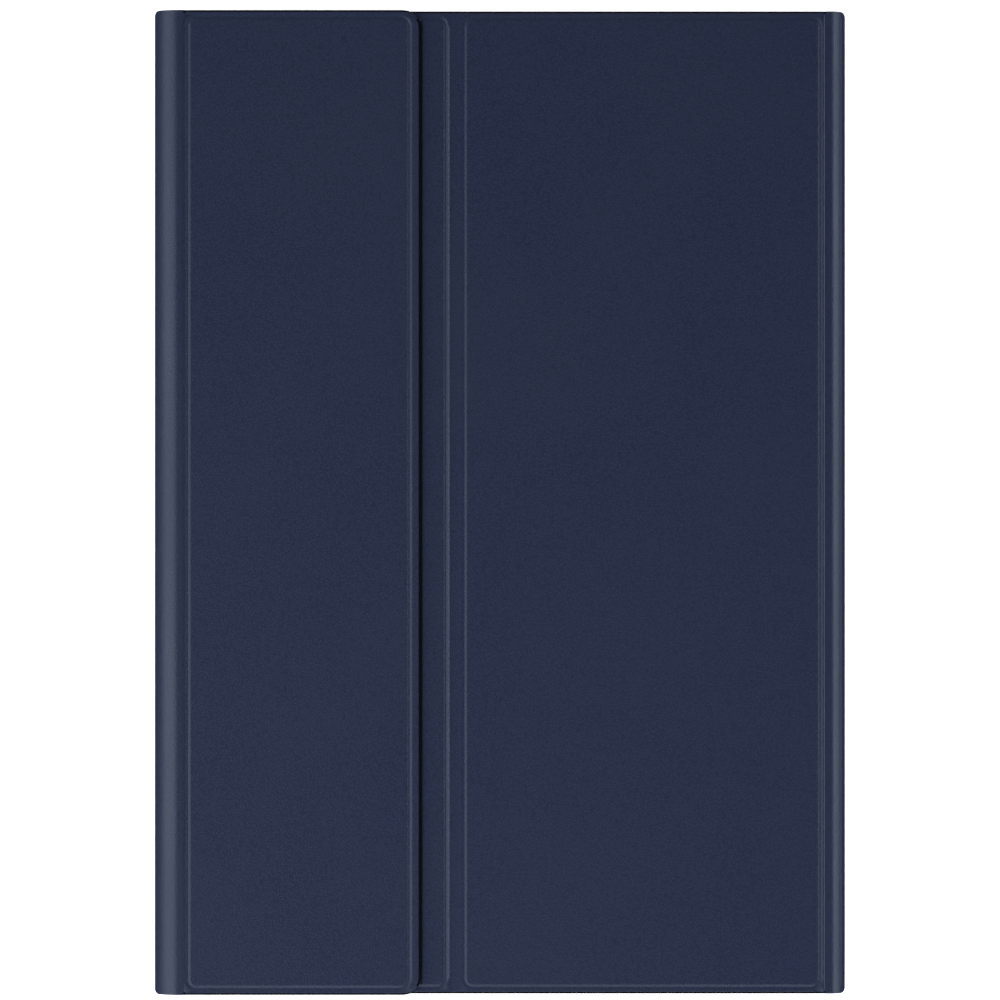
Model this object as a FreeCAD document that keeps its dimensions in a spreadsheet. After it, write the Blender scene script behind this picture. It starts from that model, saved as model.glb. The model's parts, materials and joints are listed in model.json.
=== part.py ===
import FreeCAD, Part
import math
import os
import Sketcher

# Tablet keyboard case, closed: a leather folio with a folding stand, a tablet tray and a slim keyboard.
# Millimetres. X runs from the spine to the free edge, Y along the spine, Z up from the table.
# The origin is under the middle of the case, on the table.

DIMENSIONS = (
    ("tablet_width", 165.5, "tablet that the tray holds, short side"),
    ("tablet_length", 254.0, "tablet that the tray holds, long side"),
    ("tablet_thick", 6.5, "tablet that the tray holds"),
    ("tablet_clearance", 0.4, "gap round the tablet's sides"),
    ("face_clearance", 0.1, "gap between the tablet and the lip"),
    ("tray_wall", 1.4, "long walls of the tray"),
    ("tray_end_wall", 1.6, "short walls of the tray"),
    ("tray_floor", 1.2, "back of the tray"),
    ("tray_lip_thick", 0.7, "retaining lip, along Z"),
    ("tray_lip_reach", 0.6, "retaining lip, past the wall"),
    ("tray_edge_round", 3.0, "long free edge of the tray's back"),
    ("tray_lining_thick", 0.3, "felt on the tray's floor"),
    ("slot_height", 4.5, "cut-outs in the tray's short walls, along Z"),
    ("slot_sill", 1.0, "cut-outs above the lip"),
    ("port_slot_width", 14.0, "cut-out for the tablet's charging port"),
    ("speaker_slot_width", 26.0, "cut-outs for the tablet's speakers"),
    ("speaker_offset", 45.0, "speaker cut-outs from the middle"),
    ("button_slot_width", 16.0, "cut-out for the tablet's side button"),
    ("button_offset", 70.0, "button cut-out from the middle"),
    ("spine_radius", 9.0, "rounded shoulder of the spine"),
    ("spine_gap", 2.9, "shoulder to tray"),
    ("spine_skin_thick", 1.1, "leather of the spine"),
    ("spine_board_thick", 1.0, "stiffener of the spine"),
    ("spine_lining_thick", 0.5, "lining of the spine"),
    ("spine_lift", 0.2, "spine leather above the table"),
    ("spine_board_lift", 0.5, "spine stiffener above the cover lining"),
    ("crease", 0.5, "cover leather to spine leather"),
    ("flap_crease", 0.3, "shoulder to flap"),
    ("flap_reach", 61.3, "shoulder to the flap's free edge"),
    ("flap_overhang", 0.3, "flap past the panels at each end"),
    ("flap_rim", 2.4, "leather round the flap's board"),
    ("flap_board_thick", 0.8, "stiffener of the flap"),
    ("flap_skin_thick", 0.7, "leather over the flap's board"),
    ("flap_corner", 4.8, "free corners of the flap"),
    ("strip_reach", 7.3, "flap's free edge to the fold groove"),
    ("groove_width", 4.5, "fold groove"),
    ("fold_gap", 0.2, "half the gap in the middle of the fold groove"),
    ("lip_thick", 0.6, "leather in the fold groove"),
    ("lip_overlap", 0.6, "groove leather tucked under the panel leather"),
    ("leg_gap", 0.2, "tray to leg lining"),
    ("leg_lining_thick", 0.4, "lining of the stand leg"),
    ("leg_board_thick", 0.8, "stiffener of the stand leg"),
    ("leg_skin_thick", 0.6, "leather of the stand leg"),
    ("leg_rim", 1.5, "leather round the leg's board at its ends"),
    ("back_skin_thick", 0.8, "leather of the right panel"),
    ("wrap_gap", 0.2, "tray to the leather wrapped round it"),
    ("wrap_radius", 5.5, "rounded free edge of the right panel"),
    ("wrap_skirt", 1.6, "straight leather below that round"),
    ("panel_overhang", 0.2, "panels past the tray at each end"),
    ("panel_corner", 1.4, "corners of the cover"),
    ("cover_skin_thick", 0.8, "leather under the keyboard cover"),
    ("cover_board_thick", 1.2, "stiffener of the keyboard cover"),
    ("cover_lining_thick", 0.5, "lining of the keyboard cover"),
    ("cover_inset", 0.4, "cover short of the case's free edge"),
    ("cover_rim", 1.2, "leather turned up round the cover's board"),
    ("lining_inset", 0.6, "cover lining short of the leather's edge"),
    ("magnet_length", 30.0, "magnets, along their strip"),
    ("magnet_width", 6.0, "magnets, across their strip"),
    ("magnet_pitch", 62.0, "magnets along the dock and the flap"),
    ("magnet_inset", 2.0, "magnets from the edge of their board"),
    ("closure_width", 3.0, "closing magnets at the cover's ends"),
    ("closure_setback", 12.0, "closing magnets from the keyboard's front"),
    ("dock_gap", 3.0, "keyboard to the dock magnets"),
    ("plate_margin", 1.0, "steel plates past their magnets"),
    ("keeper_thick", 0.8, "steel strips let into the tray's walls"),
    ("keeper_height", 4.0, "steel strips, along Z"),
    ("keeper_length", 180.0, "steel strip along the docking edge"),
    ("key_unit", 16.0, "pitch of the keys"),
    ("function_depth", 11.0, "pitch of the function row"),
    ("key_gap", 2.8, "gap between key caps"),
    ("well_clearance", 0.35, "key cap to its well, all round"),
    ("key_travel", 1.0, "stroke of a key"),
    ("dome_solid", 0.4, "height of a dome pressed flat"),
    ("dome_foot", 2.6, "radius of a dome's foot"),
    ("dome_crown", 1.5, "radius of a dome's crown"),
    ("side_margin", 3.0, "frame beside the keys"),
    ("front_margin", 3.0, "frame in front of the keys"),
    ("bar_gap", 2.0, "function row to the rear bar"),
    ("bar_depth", 12.0, "rear bar, along X"),
    ("bar_wall", 0.8, "top and end walls of the rear bar"),
    ("keyboard_setback", 2.6, "keyboard from the cover's free edge"),
    ("base_floor", 0.8, "floor of the keyboard base"),
    ("base_wall", 1.2, "walls of the keyboard base"),
    ("plate_clearance", 0.2, "key plate to the base's walls"),
    ("backplate_thick", 0.5, "steel plate under the keys"),
    ("membrane_thick", 0.3, "switch sheet"),
    ("tail_width", 10.0, "switch sheet's tail to the controller"),
    ("frame_lift", 0.1, "frame above the bottom of the key caps"),
    ("frame_thick", 1.0, "frame plate round the keys"),
    ("bumper_rise", 0.4, "bumpers above the keyboard"),
    ("bumper_width", 2.0, "rubber bumpers, along X"),
    ("bumper_length", 20.0, "rubber bumpers, along Y"),
    ("bumper_inset", 2.0, "bumpers from the keyboard's ends"),
    ("closing_gap", 0.3, "bumpers to tray"),
    ("screw_radius", 0.55, "shank of a case screw"),
    ("screw_head", 1.0, "radius of a screw's head"),
    ("screw_head_thick", 0.5, "head of a screw"),
    ("screw_shy", 0.3, "screw tip short of the frame's underside"),
    ("boss_radius", 1.0, "bosses under the frame"),
    ("boss_clearance", 0.3, "boss to the holes round it"),
    ("boss_margin", 2.2, "rear bosses from their neighbours"),
    ("boss_spread", 80.0, "bosses between the rows, along Y"),
    ("port_width", 9.0, "charging socket, along X"),
    ("port_height", 3.2, "charging socket, along Z"),
    ("port_depth", 7.1, "charging socket, along Y"),
    ("port_wall", 0.35, "sheet round the charging socket"),
    ("port_recess", 0.4, "socket behind the keyboard's end"),
    ("port_headroom", 0.3, "socket to the bar's top wall"),
    ("port_clearance", 0.15, "socket to the walls round it"),
    ("tongue_thick", 0.7, "contact tongue in the socket"),
    ("tongue_inset", 1.0, "tongue from the socket's ends"),
    ("board_thick", 0.8, "controller board"),
    ("board_clearance", 0.4, "controller board and battery to the bar's walls"),
    ("chip_size", 6.0, "chips on the controller board"),
    ("chip_thick", 0.9, "chips on the controller board"),
    ("chip_gap", 2.0, "chips from the switch and from each other"),
    ("chip_setback", 5.0, "last chip from the board's end"),
    ("battery_thick", 2.5, "flat cell"),
    ("battery_gap", 2.0, "battery to the bosses"),
    ("switch_gap", 6.0, "switch from the rear bumper"),
    ("switch_travel", 2.5, "stroke of the power switch"),
    ("knob_length", 4.0, "switch knob, along Y"),
    ("knob_width", 2.0, "switch knob, along X"),
    ("knob_rise", 0.3, "switch knob above the bar"),
    ("switch_clearance", 0.15, "switch slider to what guides it"),
    ("slider_thick", 0.5, "switch slider under the bar's top wall"),
    ("slider_margin", 1.2, "switch slider past its slot"),
    ("light_gap", 4.0, "first light from the switch"),
    ("light_pitch", 5.0, "status lights"),
    ("light_radius", 1.0, "status lights"),
)

KEY_COLUMNS = 15
SPACE_WIDTH = 5.5
KEY_ROWS = (
    ("keys_function", "domes_function", (1,) * KEY_COLUMNS),
    ("keys_number", "domes_number", (1,) * 13 + (2,)),
    ("keys_upper", "domes_upper", (1.5,) + (1,) * 12 + (1.5,)),
    ("keys_home", "domes_home", (1.75,) + (1,) * 11 + (2.25,)),
    ("keys_lower", "domes_lower", (2.25,) + (1,) * 10 + (2.75,)),
    ("keys_bottom", "domes_bottom", (1, 1, 1, 1.25, SPACE_WIDTH, 1.25, 1, 1, 1, 1)),
)
MAIN_ROWS = len(KEY_ROWS) - 1
ROWS_WITH_BOSSES_BEHIND = (2, 4)
LIGHT_COUNT = 3
CHIP_COUNT = 2


class Dim:
    """A length that carries its value and the sheet formula that gives it."""

    def __init__(self, value, text):
        self.value = value
        self.text = text

    def __add__(self, other):
        return Dim(self.value + other.value, f"({self.text} + {other.text})")

    def __sub__(self, other):
        return Dim(self.value - other.value, f"({self.text} - {other.text})")

    def __mul__(self, factor):
        return Dim(self.value * factor, f"({self.text} * {factor})")

    def __truediv__(self, divisor):
        return Dim(self.value / divisor, f"({self.text} / {divisor})")

    def __neg__(self):
        return Dim(-self.value, f"(0 - {self.text})")


def largest(first, second):
    """The greater of two lengths."""
    return Dim(max(first.value, second.value), f"max({first.text}; {second.text})")


def about(middle, width):
    """The two limits of a width about its middle."""
    return middle - width / 2, middle + width / 2


doc = FreeCAD.newDocument("tablet_keyboard_case")
sheet = doc.addObject("Spreadsheet::Sheet", "Dimensions")
d = {}
for row, (alias, number, note) in enumerate(DIMENSIONS, start=1):
    sheet.set(f"A{row}", note)
    sheet.set(f"B{row}", str(number))
    sheet.setAlias(f"B{row}", alias)
    d[alias] = Dim(number, f"Dimensions.{alias}")
doc.recompute()

ZERO = Dim(0.0, "0")


# Ways of making and joining solids

def bind(target, path, length):
    """Tie one property to the sheet."""
    target.setExpression(path, length.text)


def box(name, xs, ys, zs):
    """A block between two limits along each axis."""
    block = doc.addObject("Part::Box", name)
    for side, axis, (low, high) in zip(("Length", "Width", "Height"), "xyz", (xs, ys, zs)):
        bind(block, side, high - low)
        bind(block, f"Placement.Base.{axis}", low)
    return block


def stand(name, kind, centre, zs, radii):
    """An upright round solid, with its radii bound by property name."""
    solid = doc.addObject(kind, name)
    bind(solid, "Height", zs[1] - zs[0])
    for path, radius in radii.items():
        bind(solid, path, radius)
    for axis, place in zip("xyz", (centre[0], centre[1], zs[0])):
        bind(solid, f"Placement.Base.{axis}", place)
    return solid


def cylinder(name, centre, zs, radius):
    """An upright cylinder."""
    return stand(name, "Part::Cylinder", centre, zs, {"Radius": radius})


def group(name, members):
    """Separate solids under one name."""
    together = doc.addObject("Part::Compound", name)
    together.Links = members
    return together


def cut(name, base, tools):
    """A solid less some tools that don't touch each other."""
    result = doc.addObject("Part::Cut", name)
    result.Base = base
    result.Tool = tools[0] if len(tools) == 1 else group(name + "_cutters", tools)
    return result


def fuse(name, members):
    """Solids grown into one."""
    result = doc.addObject("Part::MultiFuse", name)
    result.Shapes = members
    result.Refine = True
    return result


def new_sketch(body, name, role):
    """A sketch on one of the body's own origin planes."""
    sketch = body.newObject("Sketcher::SketchObject", name)
    plane = next(feature for feature in body.Origin.OriginFeatures if feature.Role == role)
    sketch.AttachmentSupport = [(plane, "")]
    sketch.MapMode = "FlatFace"
    return sketch


def name_constraint(sketch, constraint, name, length):
    """Add a constraint and tie its datum to the sheet."""
    index = sketch.addConstraint(constraint)
    sketch.renameConstraint(index, name)
    bind(sketch, f"Constraints.{name}", length)


def plan_sketch(body, name, xs, length, height):
    """A rectangle at a height, even about Y = 0."""
    sketch = new_sketch(body, name, "XY_Plane")
    low, high = xs
    width = high - low
    bind(sketch, "AttachmentOffset.Base.x", (low + high) / 2)
    bind(sketch, "AttachmentOffset.Base.z", height)
    signs = ((-1, -1), (1, -1), (1, 1), (-1, 1))
    corners = [FreeCAD.Vector(a * width.value / 2, b * length.value / 2, 0) for a, b in signs]
    for index, corner in enumerate(corners):
        sketch.addGeometry(Part.LineSegment(corner, corners[(index + 1) % 4]))
    for index in range(4):
        sketch.addConstraint(Sketcher.Constraint("Coincident", index, 2, (index + 1) % 4, 1))
    for index, direction in enumerate(("Horizontal", "Vertical", "Horizontal", "Vertical")):
        sketch.addConstraint(Sketcher.Constraint(direction, index))
    sketch.addConstraint(Sketcher.Constraint("Symmetric", 0, 1, 2, 1, -1, 1))
    name_constraint(sketch, Sketcher.Constraint("DistanceX", 0, 1, 0, 2, width.value), "width", width)
    name_constraint(sketch, Sketcher.Constraint("DistanceY", 1, 1, 1, 2, length.value), "length", length)
    return sketch


def panel(name, xs, length, zs):
    """A flat panel as a padded rectangle."""
    body = doc.addObject("PartDesign::Body", name)
    pad = body.newObject("PartDesign::Pad", name + "_pad")
    pad.Profile = plan_sketch(body, name + "_plan", xs, length, zs[0])
    bind(pad, "Length", zs[1] - zs[0])
    doc.recompute()
    return body


def pocket(body, name, xs, length, height, depth, upward):
    """A rectangular recess from a height, up or down into the body."""
    before = body.Shape.Volume
    recess = body.newObject("PartDesign::Pocket", name)
    recess.Profile = plan_sketch(body, name + "_plan", xs, length, height)
    recess.Reversed = upward
    bind(recess, "Length", depth)
    doc.recompute()
    if body.Shape.Volume >= before:
        raise ValueError(f"{name} cuts nothing")


def round_corners(body, name, radius, beyond):
    """Round the upright edges that lie past an X place."""
    doc.recompute()
    base = body.Tip
    picks = []
    for number, edge in enumerate(body.Shape.Edges, start=1):
        start, end = (vertex.Point for vertex in (edge.Vertexes[0], edge.Vertexes[-1]))
        upright = math.isclose(start.x, end.x) and math.isclose(start.y, end.y)
        outer = math.isclose(abs(start.y), body.Shape.BoundBox.YMax)
        if upright and outer and start.x > beyond.value:
            picks.append(f"Edge{number}")
    fillet = body.newObject("PartDesign::Fillet", name)
    fillet.Base = (base, picks)
    bind(fillet, "Radius", radius)
    doc.recompute()


def arc_between(start, end, radius, turn):
    """The short arc between two points, turning left (1) or right (-1)."""
    chord = end - start
    height = math.sqrt(radius ** 2 - chord.Length ** 2 / 4)
    normal = FreeCAD.Vector(-chord.y, chord.x, 0).normalize()
    centre = (start + end) / 2 + normal * height * turn
    first, last = (start, end) if turn > 0 else (end, start)
    angles = [math.atan2(point.y - centre.y, point.x - centre.x) for point in (first, last)]
    circle = Part.Circle(centre, FreeCAD.Vector(0, 0, 1), radius)
    return Part.ArcOfCircle(circle, angles[0], angles[1])


def profile(name, outline, length):
    """A long piece: an outline in X and Z, padded evenly about Y = 0.

    Each entry of the outline is (x, z), or (x, z, radius, turn) where an arc leads on from that point.
    """
    body = doc.addObject("PartDesign::Body", name)
    sketch = new_sketch(body, name + "_section", "XZ_Plane")
    count = len(outline)
    points = [FreeCAD.Vector(entry[0].value, entry[1].value, 0) for entry in outline]
    starts = []
    for index, entry in enumerate(outline):
        start = points[index]
        end = points[(index + 1) % count]
        turn = entry[3] if len(entry) > 2 else 0
        segment = arc_between(start, end, entry[2].value, turn) if turn else Part.LineSegment(start, end)
        sketch.addGeometry(segment)
        starts.append(2 if turn < 0 else 1)
    for index, entry in enumerate(outline):
        follower = (index + 1) % count
        sketch.addConstraint(
            Sketcher.Constraint("Coincident", index, 3 - starts[index], follower, starts[follower]))
        for direction, length_from_origin in zip(("DistanceX", "DistanceY"), entry[:2]):
            datum = Sketcher.Constraint(direction, -1, 1, index, starts[index], length_from_origin.value)
            name_constraint(sketch, datum, f"{direction}_{index}", length_from_origin)
        if len(entry) > 2:
            name_constraint(sketch, Sketcher.Constraint("Radius", index, entry[2].value),
                            f"Radius_{index}", entry[2])
    pad = body.newObject("PartDesign::Pad", name + "_pad")
    pad.Profile = sketch
    pad.SideType = "Symmetric"
    bind(pad, "Length", length)
    doc.recompute()
    return body


# Heights, from the table up

cover_board_z = d["cover_skin_thick"]
cover_lining_z = cover_board_z + d["cover_board_thick"]
keyboard_z = cover_lining_z + d["cover_lining_thick"]
base_top = keyboard_z + d["base_floor"]
membrane_z = base_top + d["backplate_thick"]
dome_z = membrane_z + d["membrane_thick"]
cap_z = dome_z + d["dome_solid"] + d["key_travel"]
frame_z = cap_z + d["frame_lift"]
frame_top = frame_z + d["frame_thick"]
cap_top = frame_top + d["key_travel"]
bar_ceiling = base_top + d["port_height"] + d["port_headroom"]
bar_top = bar_ceiling + d["bar_wall"]
bumper_top = largest(cap_top, bar_top) + d["bumper_rise"]
tray_z = bumper_top + d["closing_gap"]
cavity_z = tray_z + d["tray_lip_thick"]
tray_lining_z = cavity_z + d["tablet_thick"] + d["face_clearance"]
tray_floor_z = tray_lining_z + d["tray_lining_thick"]
tray_top = tray_floor_z + d["tray_floor"]
leg_lining_z = tray_top + d["leg_gap"]
leg_board_z = leg_lining_z + d["leg_lining_thick"]
leg_skin_z = leg_board_z + d["leg_board_thick"]
leg_top = leg_skin_z + d["leg_skin_thick"]
lip_z = leg_skin_z - d["lip_thick"]
back_skin_z = leg_top - d["back_skin_thick"]
flap_skin_z = leg_top + d["flap_board_thick"]
case_top = flap_skin_z + d["flap_skin_thick"]

# Places across the case, from the spine to the free edge

tray_width = d["tablet_width"] + (d["tablet_clearance"] + d["tray_wall"]) * 2
wrap_thick = d["wrap_gap"] + d["back_skin_thick"]
case_width = d["spine_radius"] + d["spine_gap"] + tray_width + wrap_thick
case_right = case_width / 2
case_left = -case_right
shoulder = case_left + d["spine_radius"]
tray_left = shoulder + d["spine_gap"]
tray_right = tray_left + tray_width
flap_left = shoulder + d["flap_crease"]
flap_right = shoulder + d["flap_reach"]
groove_left = flap_right + d["strip_reach"]
groove_right = groove_left + d["groove_width"]
fold = groove_left + d["groove_width"] / 2
leg_board_right = groove_left - d["lip_overlap"]
back_board_left = groove_right + d["lip_overlap"]
wrap_left = case_right - d["wrap_radius"]
cover_left = case_left + d["spine_skin_thick"] + d["crease"]
cover_right = case_right - d["cover_inset"]
keyboard_right = cover_right - d["keyboard_setback"]
keys_right = keyboard_right - d["front_margin"]
rows_left = keys_right - d["key_unit"] * MAIN_ROWS
function_left = rows_left - d["function_depth"]
bar_right = function_left - d["bar_gap"]
keyboard_left = bar_right - d["bar_depth"]
bar_middle = (keyboard_left + bar_right) / 2

# Lengths along the spine

tray_length = d["tablet_length"] + (d["tablet_clearance"] + d["tray_end_wall"]) * 2
panel_length = tray_length + d["panel_overhang"] * 2
case_length = panel_length + d["flap_overhang"] * 2
keys_half = d["key_unit"] * KEY_COLUMNS / 2
keyboard_half = keys_half + d["side_margin"]
base_inner = keyboard_half - d["base_wall"]


def span(length):
    """The limits of a length along Y, even about the middle."""
    return -length / 2, length / 2


def magnet_rows(name, xs, zs, margin):
    """Four blocks along Y on the magnets' pitch, each longer and wider than a magnet by a margin."""
    blocks = []
    for step in (-1.5, -0.5, 0.5, 1.5):
        ys = about(d["magnet_pitch"] * step, d["magnet_length"] + margin * 2)
        blocks.append(box(f"{name}_{len(blocks)}", (xs[0] - margin, xs[1] + margin), ys, zs))
    return blocks


nodes = {}

# Keyboard cover: leather, stiffener with magnets, lining

cover_inner = (cover_left + d["cover_rim"], cover_right - d["cover_rim"])
cover_inner_length = panel_length - d["cover_rim"] * 2
cover_skin = panel("cover_skin", (cover_left, cover_right), panel_length, (ZERO, cover_lining_z))
pocket(cover_skin, "cover_recess", cover_inner, cover_inner_length, cover_lining_z,
       d["cover_board_thick"], False)
round_corners(cover_skin, "cover_corners", d["panel_corner"], ZERO)
nodes["cover_skin"] = cover_skin

cover_layer = (cover_board_z, cover_lining_z)
dock_right = keyboard_left - d["dock_gap"]
dock_xs = (dock_right - d["magnet_width"], dock_right)
closure_right = keyboard_right - d["closure_setback"]
closure_xs = (closure_right - d["magnet_length"], closure_right)
closure_outer = cover_inner_length / 2 - d["magnet_inset"]
closure_ys = (closure_outer - d["closure_width"], closure_outer)
closure_ends = (closure_ys, (-closure_ys[1], -closure_ys[0]))
closures = [box(f"closure_{side}", closure_xs, ys, cover_layer) for side, ys in enumerate(closure_ends)]
docks = magnet_rows("dock", dock_xs, cover_layer, ZERO)
nodes["cover_magnets"] = group("cover_magnets", closures)
nodes["dock_magnets"] = group("dock_magnets", docks)
cover_blank = box("cover_board_blank", cover_inner, span(cover_inner_length), cover_layer)
nodes["cover_board"] = cut("cover_board", cover_blank, closures + docks)

lining_xs = (cover_left + d["lining_inset"], cover_right - d["lining_inset"])
cover_lining = panel("cover_lining", lining_xs, panel_length - d["lining_inset"] * 2,
                     (cover_lining_z, keyboard_z))
round_corners(cover_lining, "lining_corners", d["panel_corner"], ZERO)
nodes["cover_lining"] = cover_lining

# Spine: rounded leather, stiffener, lining

shoulder_z = case_top - d["spine_radius"]
spine_inside = case_left + d["spine_skin_thick"]
nodes["spine_skin"] = profile("spine_skin", (
    (case_left, d["spine_lift"]),
    (case_left, shoulder_z, d["spine_radius"], -1),
    (shoulder, case_top),
    (shoulder, case_top - d["spine_skin_thick"], d["spine_radius"] - d["spine_skin_thick"], 1),
    (spine_inside, shoulder_z),
    (spine_inside, d["spine_lift"]),
), case_length)
spine_board_right = spine_inside + d["spine_board_thick"]
spine_zs = (keyboard_z + d["spine_board_lift"], shoulder_z)
nodes["spine_board"] = box("spine_board", (spine_inside, spine_board_right), span(panel_length), spine_zs)
nodes["spine_lining"] = box(
    "spine_lining", (spine_board_right, spine_board_right + d["spine_lining_thick"]),
    span(panel_length), spine_zs)

# Flap that runs on from the spine, over the stand leg

flap_inner = (flap_left, flap_right - d["flap_rim"])
flap_inner_length = case_length - d["flap_rim"] * 2
flap_skin = panel("flap_skin", (flap_left, flap_right), case_length, (leg_top, case_top))
round_corners(flap_skin, "flap_corners", d["flap_corner"], fold - d["flap_reach"] / 2)
pocket(flap_skin, "flap_recess", flap_inner, flap_inner_length, leg_top, d["flap_board_thick"], True)
nodes["flap_skin"] = flap_skin

flap_magnet_right = flap_inner[1] - d["magnet_inset"]
flap_magnet_xs = (flap_magnet_right - d["magnet_width"], flap_magnet_right)
flap_layer = (leg_top, flap_skin_z)
flap_magnets = magnet_rows("flap_magnet", flap_magnet_xs, flap_layer, ZERO)
nodes["flap_magnets"] = group("flap_magnets", flap_magnets)
flap_blank = box("flap_board_blank", flap_inner, span(flap_inner_length), flap_layer)
nodes["flap_board"] = cut("flap_board", flap_blank, flap_magnets)

# Stand leg under the flap: lining, stiffener with steel plates, leather with its half of the fold

leg_inner_length = panel_length - d["leg_rim"] * 2
leg_layer = (leg_board_z, leg_skin_z)
leg_plates = magnet_rows("leg_plate", flap_magnet_xs, leg_layer, d["plate_margin"])
leg_blank = box("leg_board_blank", (tray_left, leg_board_right), span(leg_inner_length), leg_layer)
nodes["leg_plates"] = group("leg_plates", leg_plates)
nodes["leg_board"] = cut("leg_board", leg_blank, leg_plates)
nodes["leg_lining"] = box(
    "leg_lining", (tray_left, leg_board_right), span(panel_length), (leg_lining_z, leg_board_z))
leg_top_skin = box(
    "leg_top_skin", (tray_left, groove_left), span(panel_length), (leg_skin_z, leg_top))
leg_lip = box(
    "leg_lip", (leg_board_right, fold - d["fold_gap"]), span(panel_length), (lip_z, leg_skin_z))
nodes["leg_skin"] = fuse("leg_skin", [leg_top_skin, leg_lip])

# Tablet tray, open downwards

tray_skin = profile("tray_outer", (
    (tray_left, tray_z),
    (tray_right, tray_z),
    (tray_right, tray_top - d["tray_edge_round"], d["tray_edge_round"], 1),
    (tray_right - d["tray_edge_round"], tray_top),
    (tray_left, tray_top),
), tray_length)
cavity_xs = (tray_left + d["tray_wall"], tray_right - d["tray_wall"])
cavity_length = tray_length - d["tray_end_wall"] * 2
mouth_xs = (cavity_xs[0] + d["tray_lip_reach"], cavity_xs[1] - d["tray_lip_reach"])
pocket(tray_skin, "tray_cavity", cavity_xs, cavity_length, cavity_z, tray_floor_z - cavity_z, True)
pocket(tray_skin, "tray_mouth", mouth_xs, cavity_length - d["tray_lip_reach"] * 2, tray_z,
       d["tray_lip_thick"], True)

keeper_z = cavity_z + d["slot_sill"]
keeper_zs = (keeper_z, keeper_z + d["keeper_height"])
tray_half = tray_length / 2
keeper_ends = ((tray_half - d["keeper_thick"], tray_half), (-tray_half, d["keeper_thick"] - tray_half))
keepers = [box("keeper_dock", (tray_left, tray_left + d["keeper_thick"]), span(d["keeper_length"]), keeper_zs)]
for ys in keeper_ends:
    keepers.append(box(f"keeper_end_{len(keepers)}", closure_xs, ys, keeper_zs))
nodes["tray_keepers"] = group("tray_keepers", keepers)

tray_middle = (tray_left + tray_right) / 2
slot_zs = (keeper_z, keeper_z + d["slot_height"])
wall_ys = ((cavity_length / 2, tray_half), (-tray_half, -cavity_length / 2))
slots = [box("port_slot", about(tray_middle, d["port_slot_width"]), wall_ys[1], slot_zs)]
button_xs = about(tray_middle - d["button_offset"], d["button_slot_width"])
slots.append(box("button_slot", button_xs, wall_ys[0], slot_zs))
for ys in wall_ys:
    slots.append(box(f"speaker_slot_{len(slots)}",
                     about(tray_middle - d["speaker_offset"], d["speaker_slot_width"]), ys, slot_zs))
nodes["tray_shell"] = cut("tray_shell", tray_skin, keepers + slots)
nodes["tray_lining"] = box(
    "tray_lining", cavity_xs, span(cavity_length), (tray_lining_z, tray_floor_z))

# Right panel on the tray's back, wrapped round its free edge

back_inside = case_right - d["back_skin_thick"]
wrap_z = leg_top - d["wrap_radius"]
inner_wrap = d["wrap_radius"] - d["back_skin_thick"]
nodes["back_panel_skin"] = profile("back_panel_skin", (
    (fold + d["fold_gap"], lip_z),
    (back_board_left, lip_z),
    (back_board_left, back_skin_z),
    (wrap_left, back_skin_z, inner_wrap, -1),
    (back_inside, wrap_z),
    (back_inside, wrap_z - d["wrap_skirt"]),
    (case_right, wrap_z - d["wrap_skirt"]),
    (case_right, wrap_z, d["wrap_radius"], 1),
    (wrap_left, leg_top),
    (groove_right, leg_top),
    (groove_right, leg_skin_z),
    (fold + d["fold_gap"], leg_skin_z),
), panel_length)
nodes["back_board"] = box(
    "back_board", (back_board_left, wrap_left), span(tray_length), (tray_top, back_skin_z))

# Keyboard: where its screws go

web_places = [rows_left + d["key_unit"] * row for row in ROWS_WITH_BOSSES_BEHIND]
port_outer = keyboard_half - d["port_recess"]
board_end = port_outer - d["port_depth"]
bumper_y = keyboard_half - d["bumper_inset"] - d["bumper_length"] / 2
slot_length = d["knob_length"] + d["switch_travel"] + d["switch_clearance"] * 2
housing_length = slot_length + d["slider_margin"] * 2
housing_end = bumper_y - d["bumper_length"] / 2 - d["switch_gap"]
housing_start = housing_end - housing_length
chip_step = d["chip_size"] + d["chip_gap"]
board_start = housing_start - chip_step * CHIP_COUNT - d["chip_setback"]
boss_room = d["boss_radius"] + d["boss_margin"]
rear_bosses = ((bar_middle, -base_inner + boss_room), (bar_middle, board_start - boss_room))
web_bosses = [(x, d["boss_spread"] * side) for x in web_places for side in (-1, 0, 1)]
boss_places = list(rear_bosses) + web_bosses


def at_bosses(name, places, zs, radius):
    """A cylinder at each screw place."""
    return [cylinder(f"{name}_{number}", place, zs, radius) for number, place in enumerate(places)]


# Keyboard: caps, their wells in the frame and the domes under them

def key_block(name, xs, ys, shrink, zs):
    """A block on a key's place, drawn in evenly from the pitch."""
    return box(name, (xs[0] + shrink, xs[1] - shrink), (ys[0] + shrink, ys[1] - shrink), zs)


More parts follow.
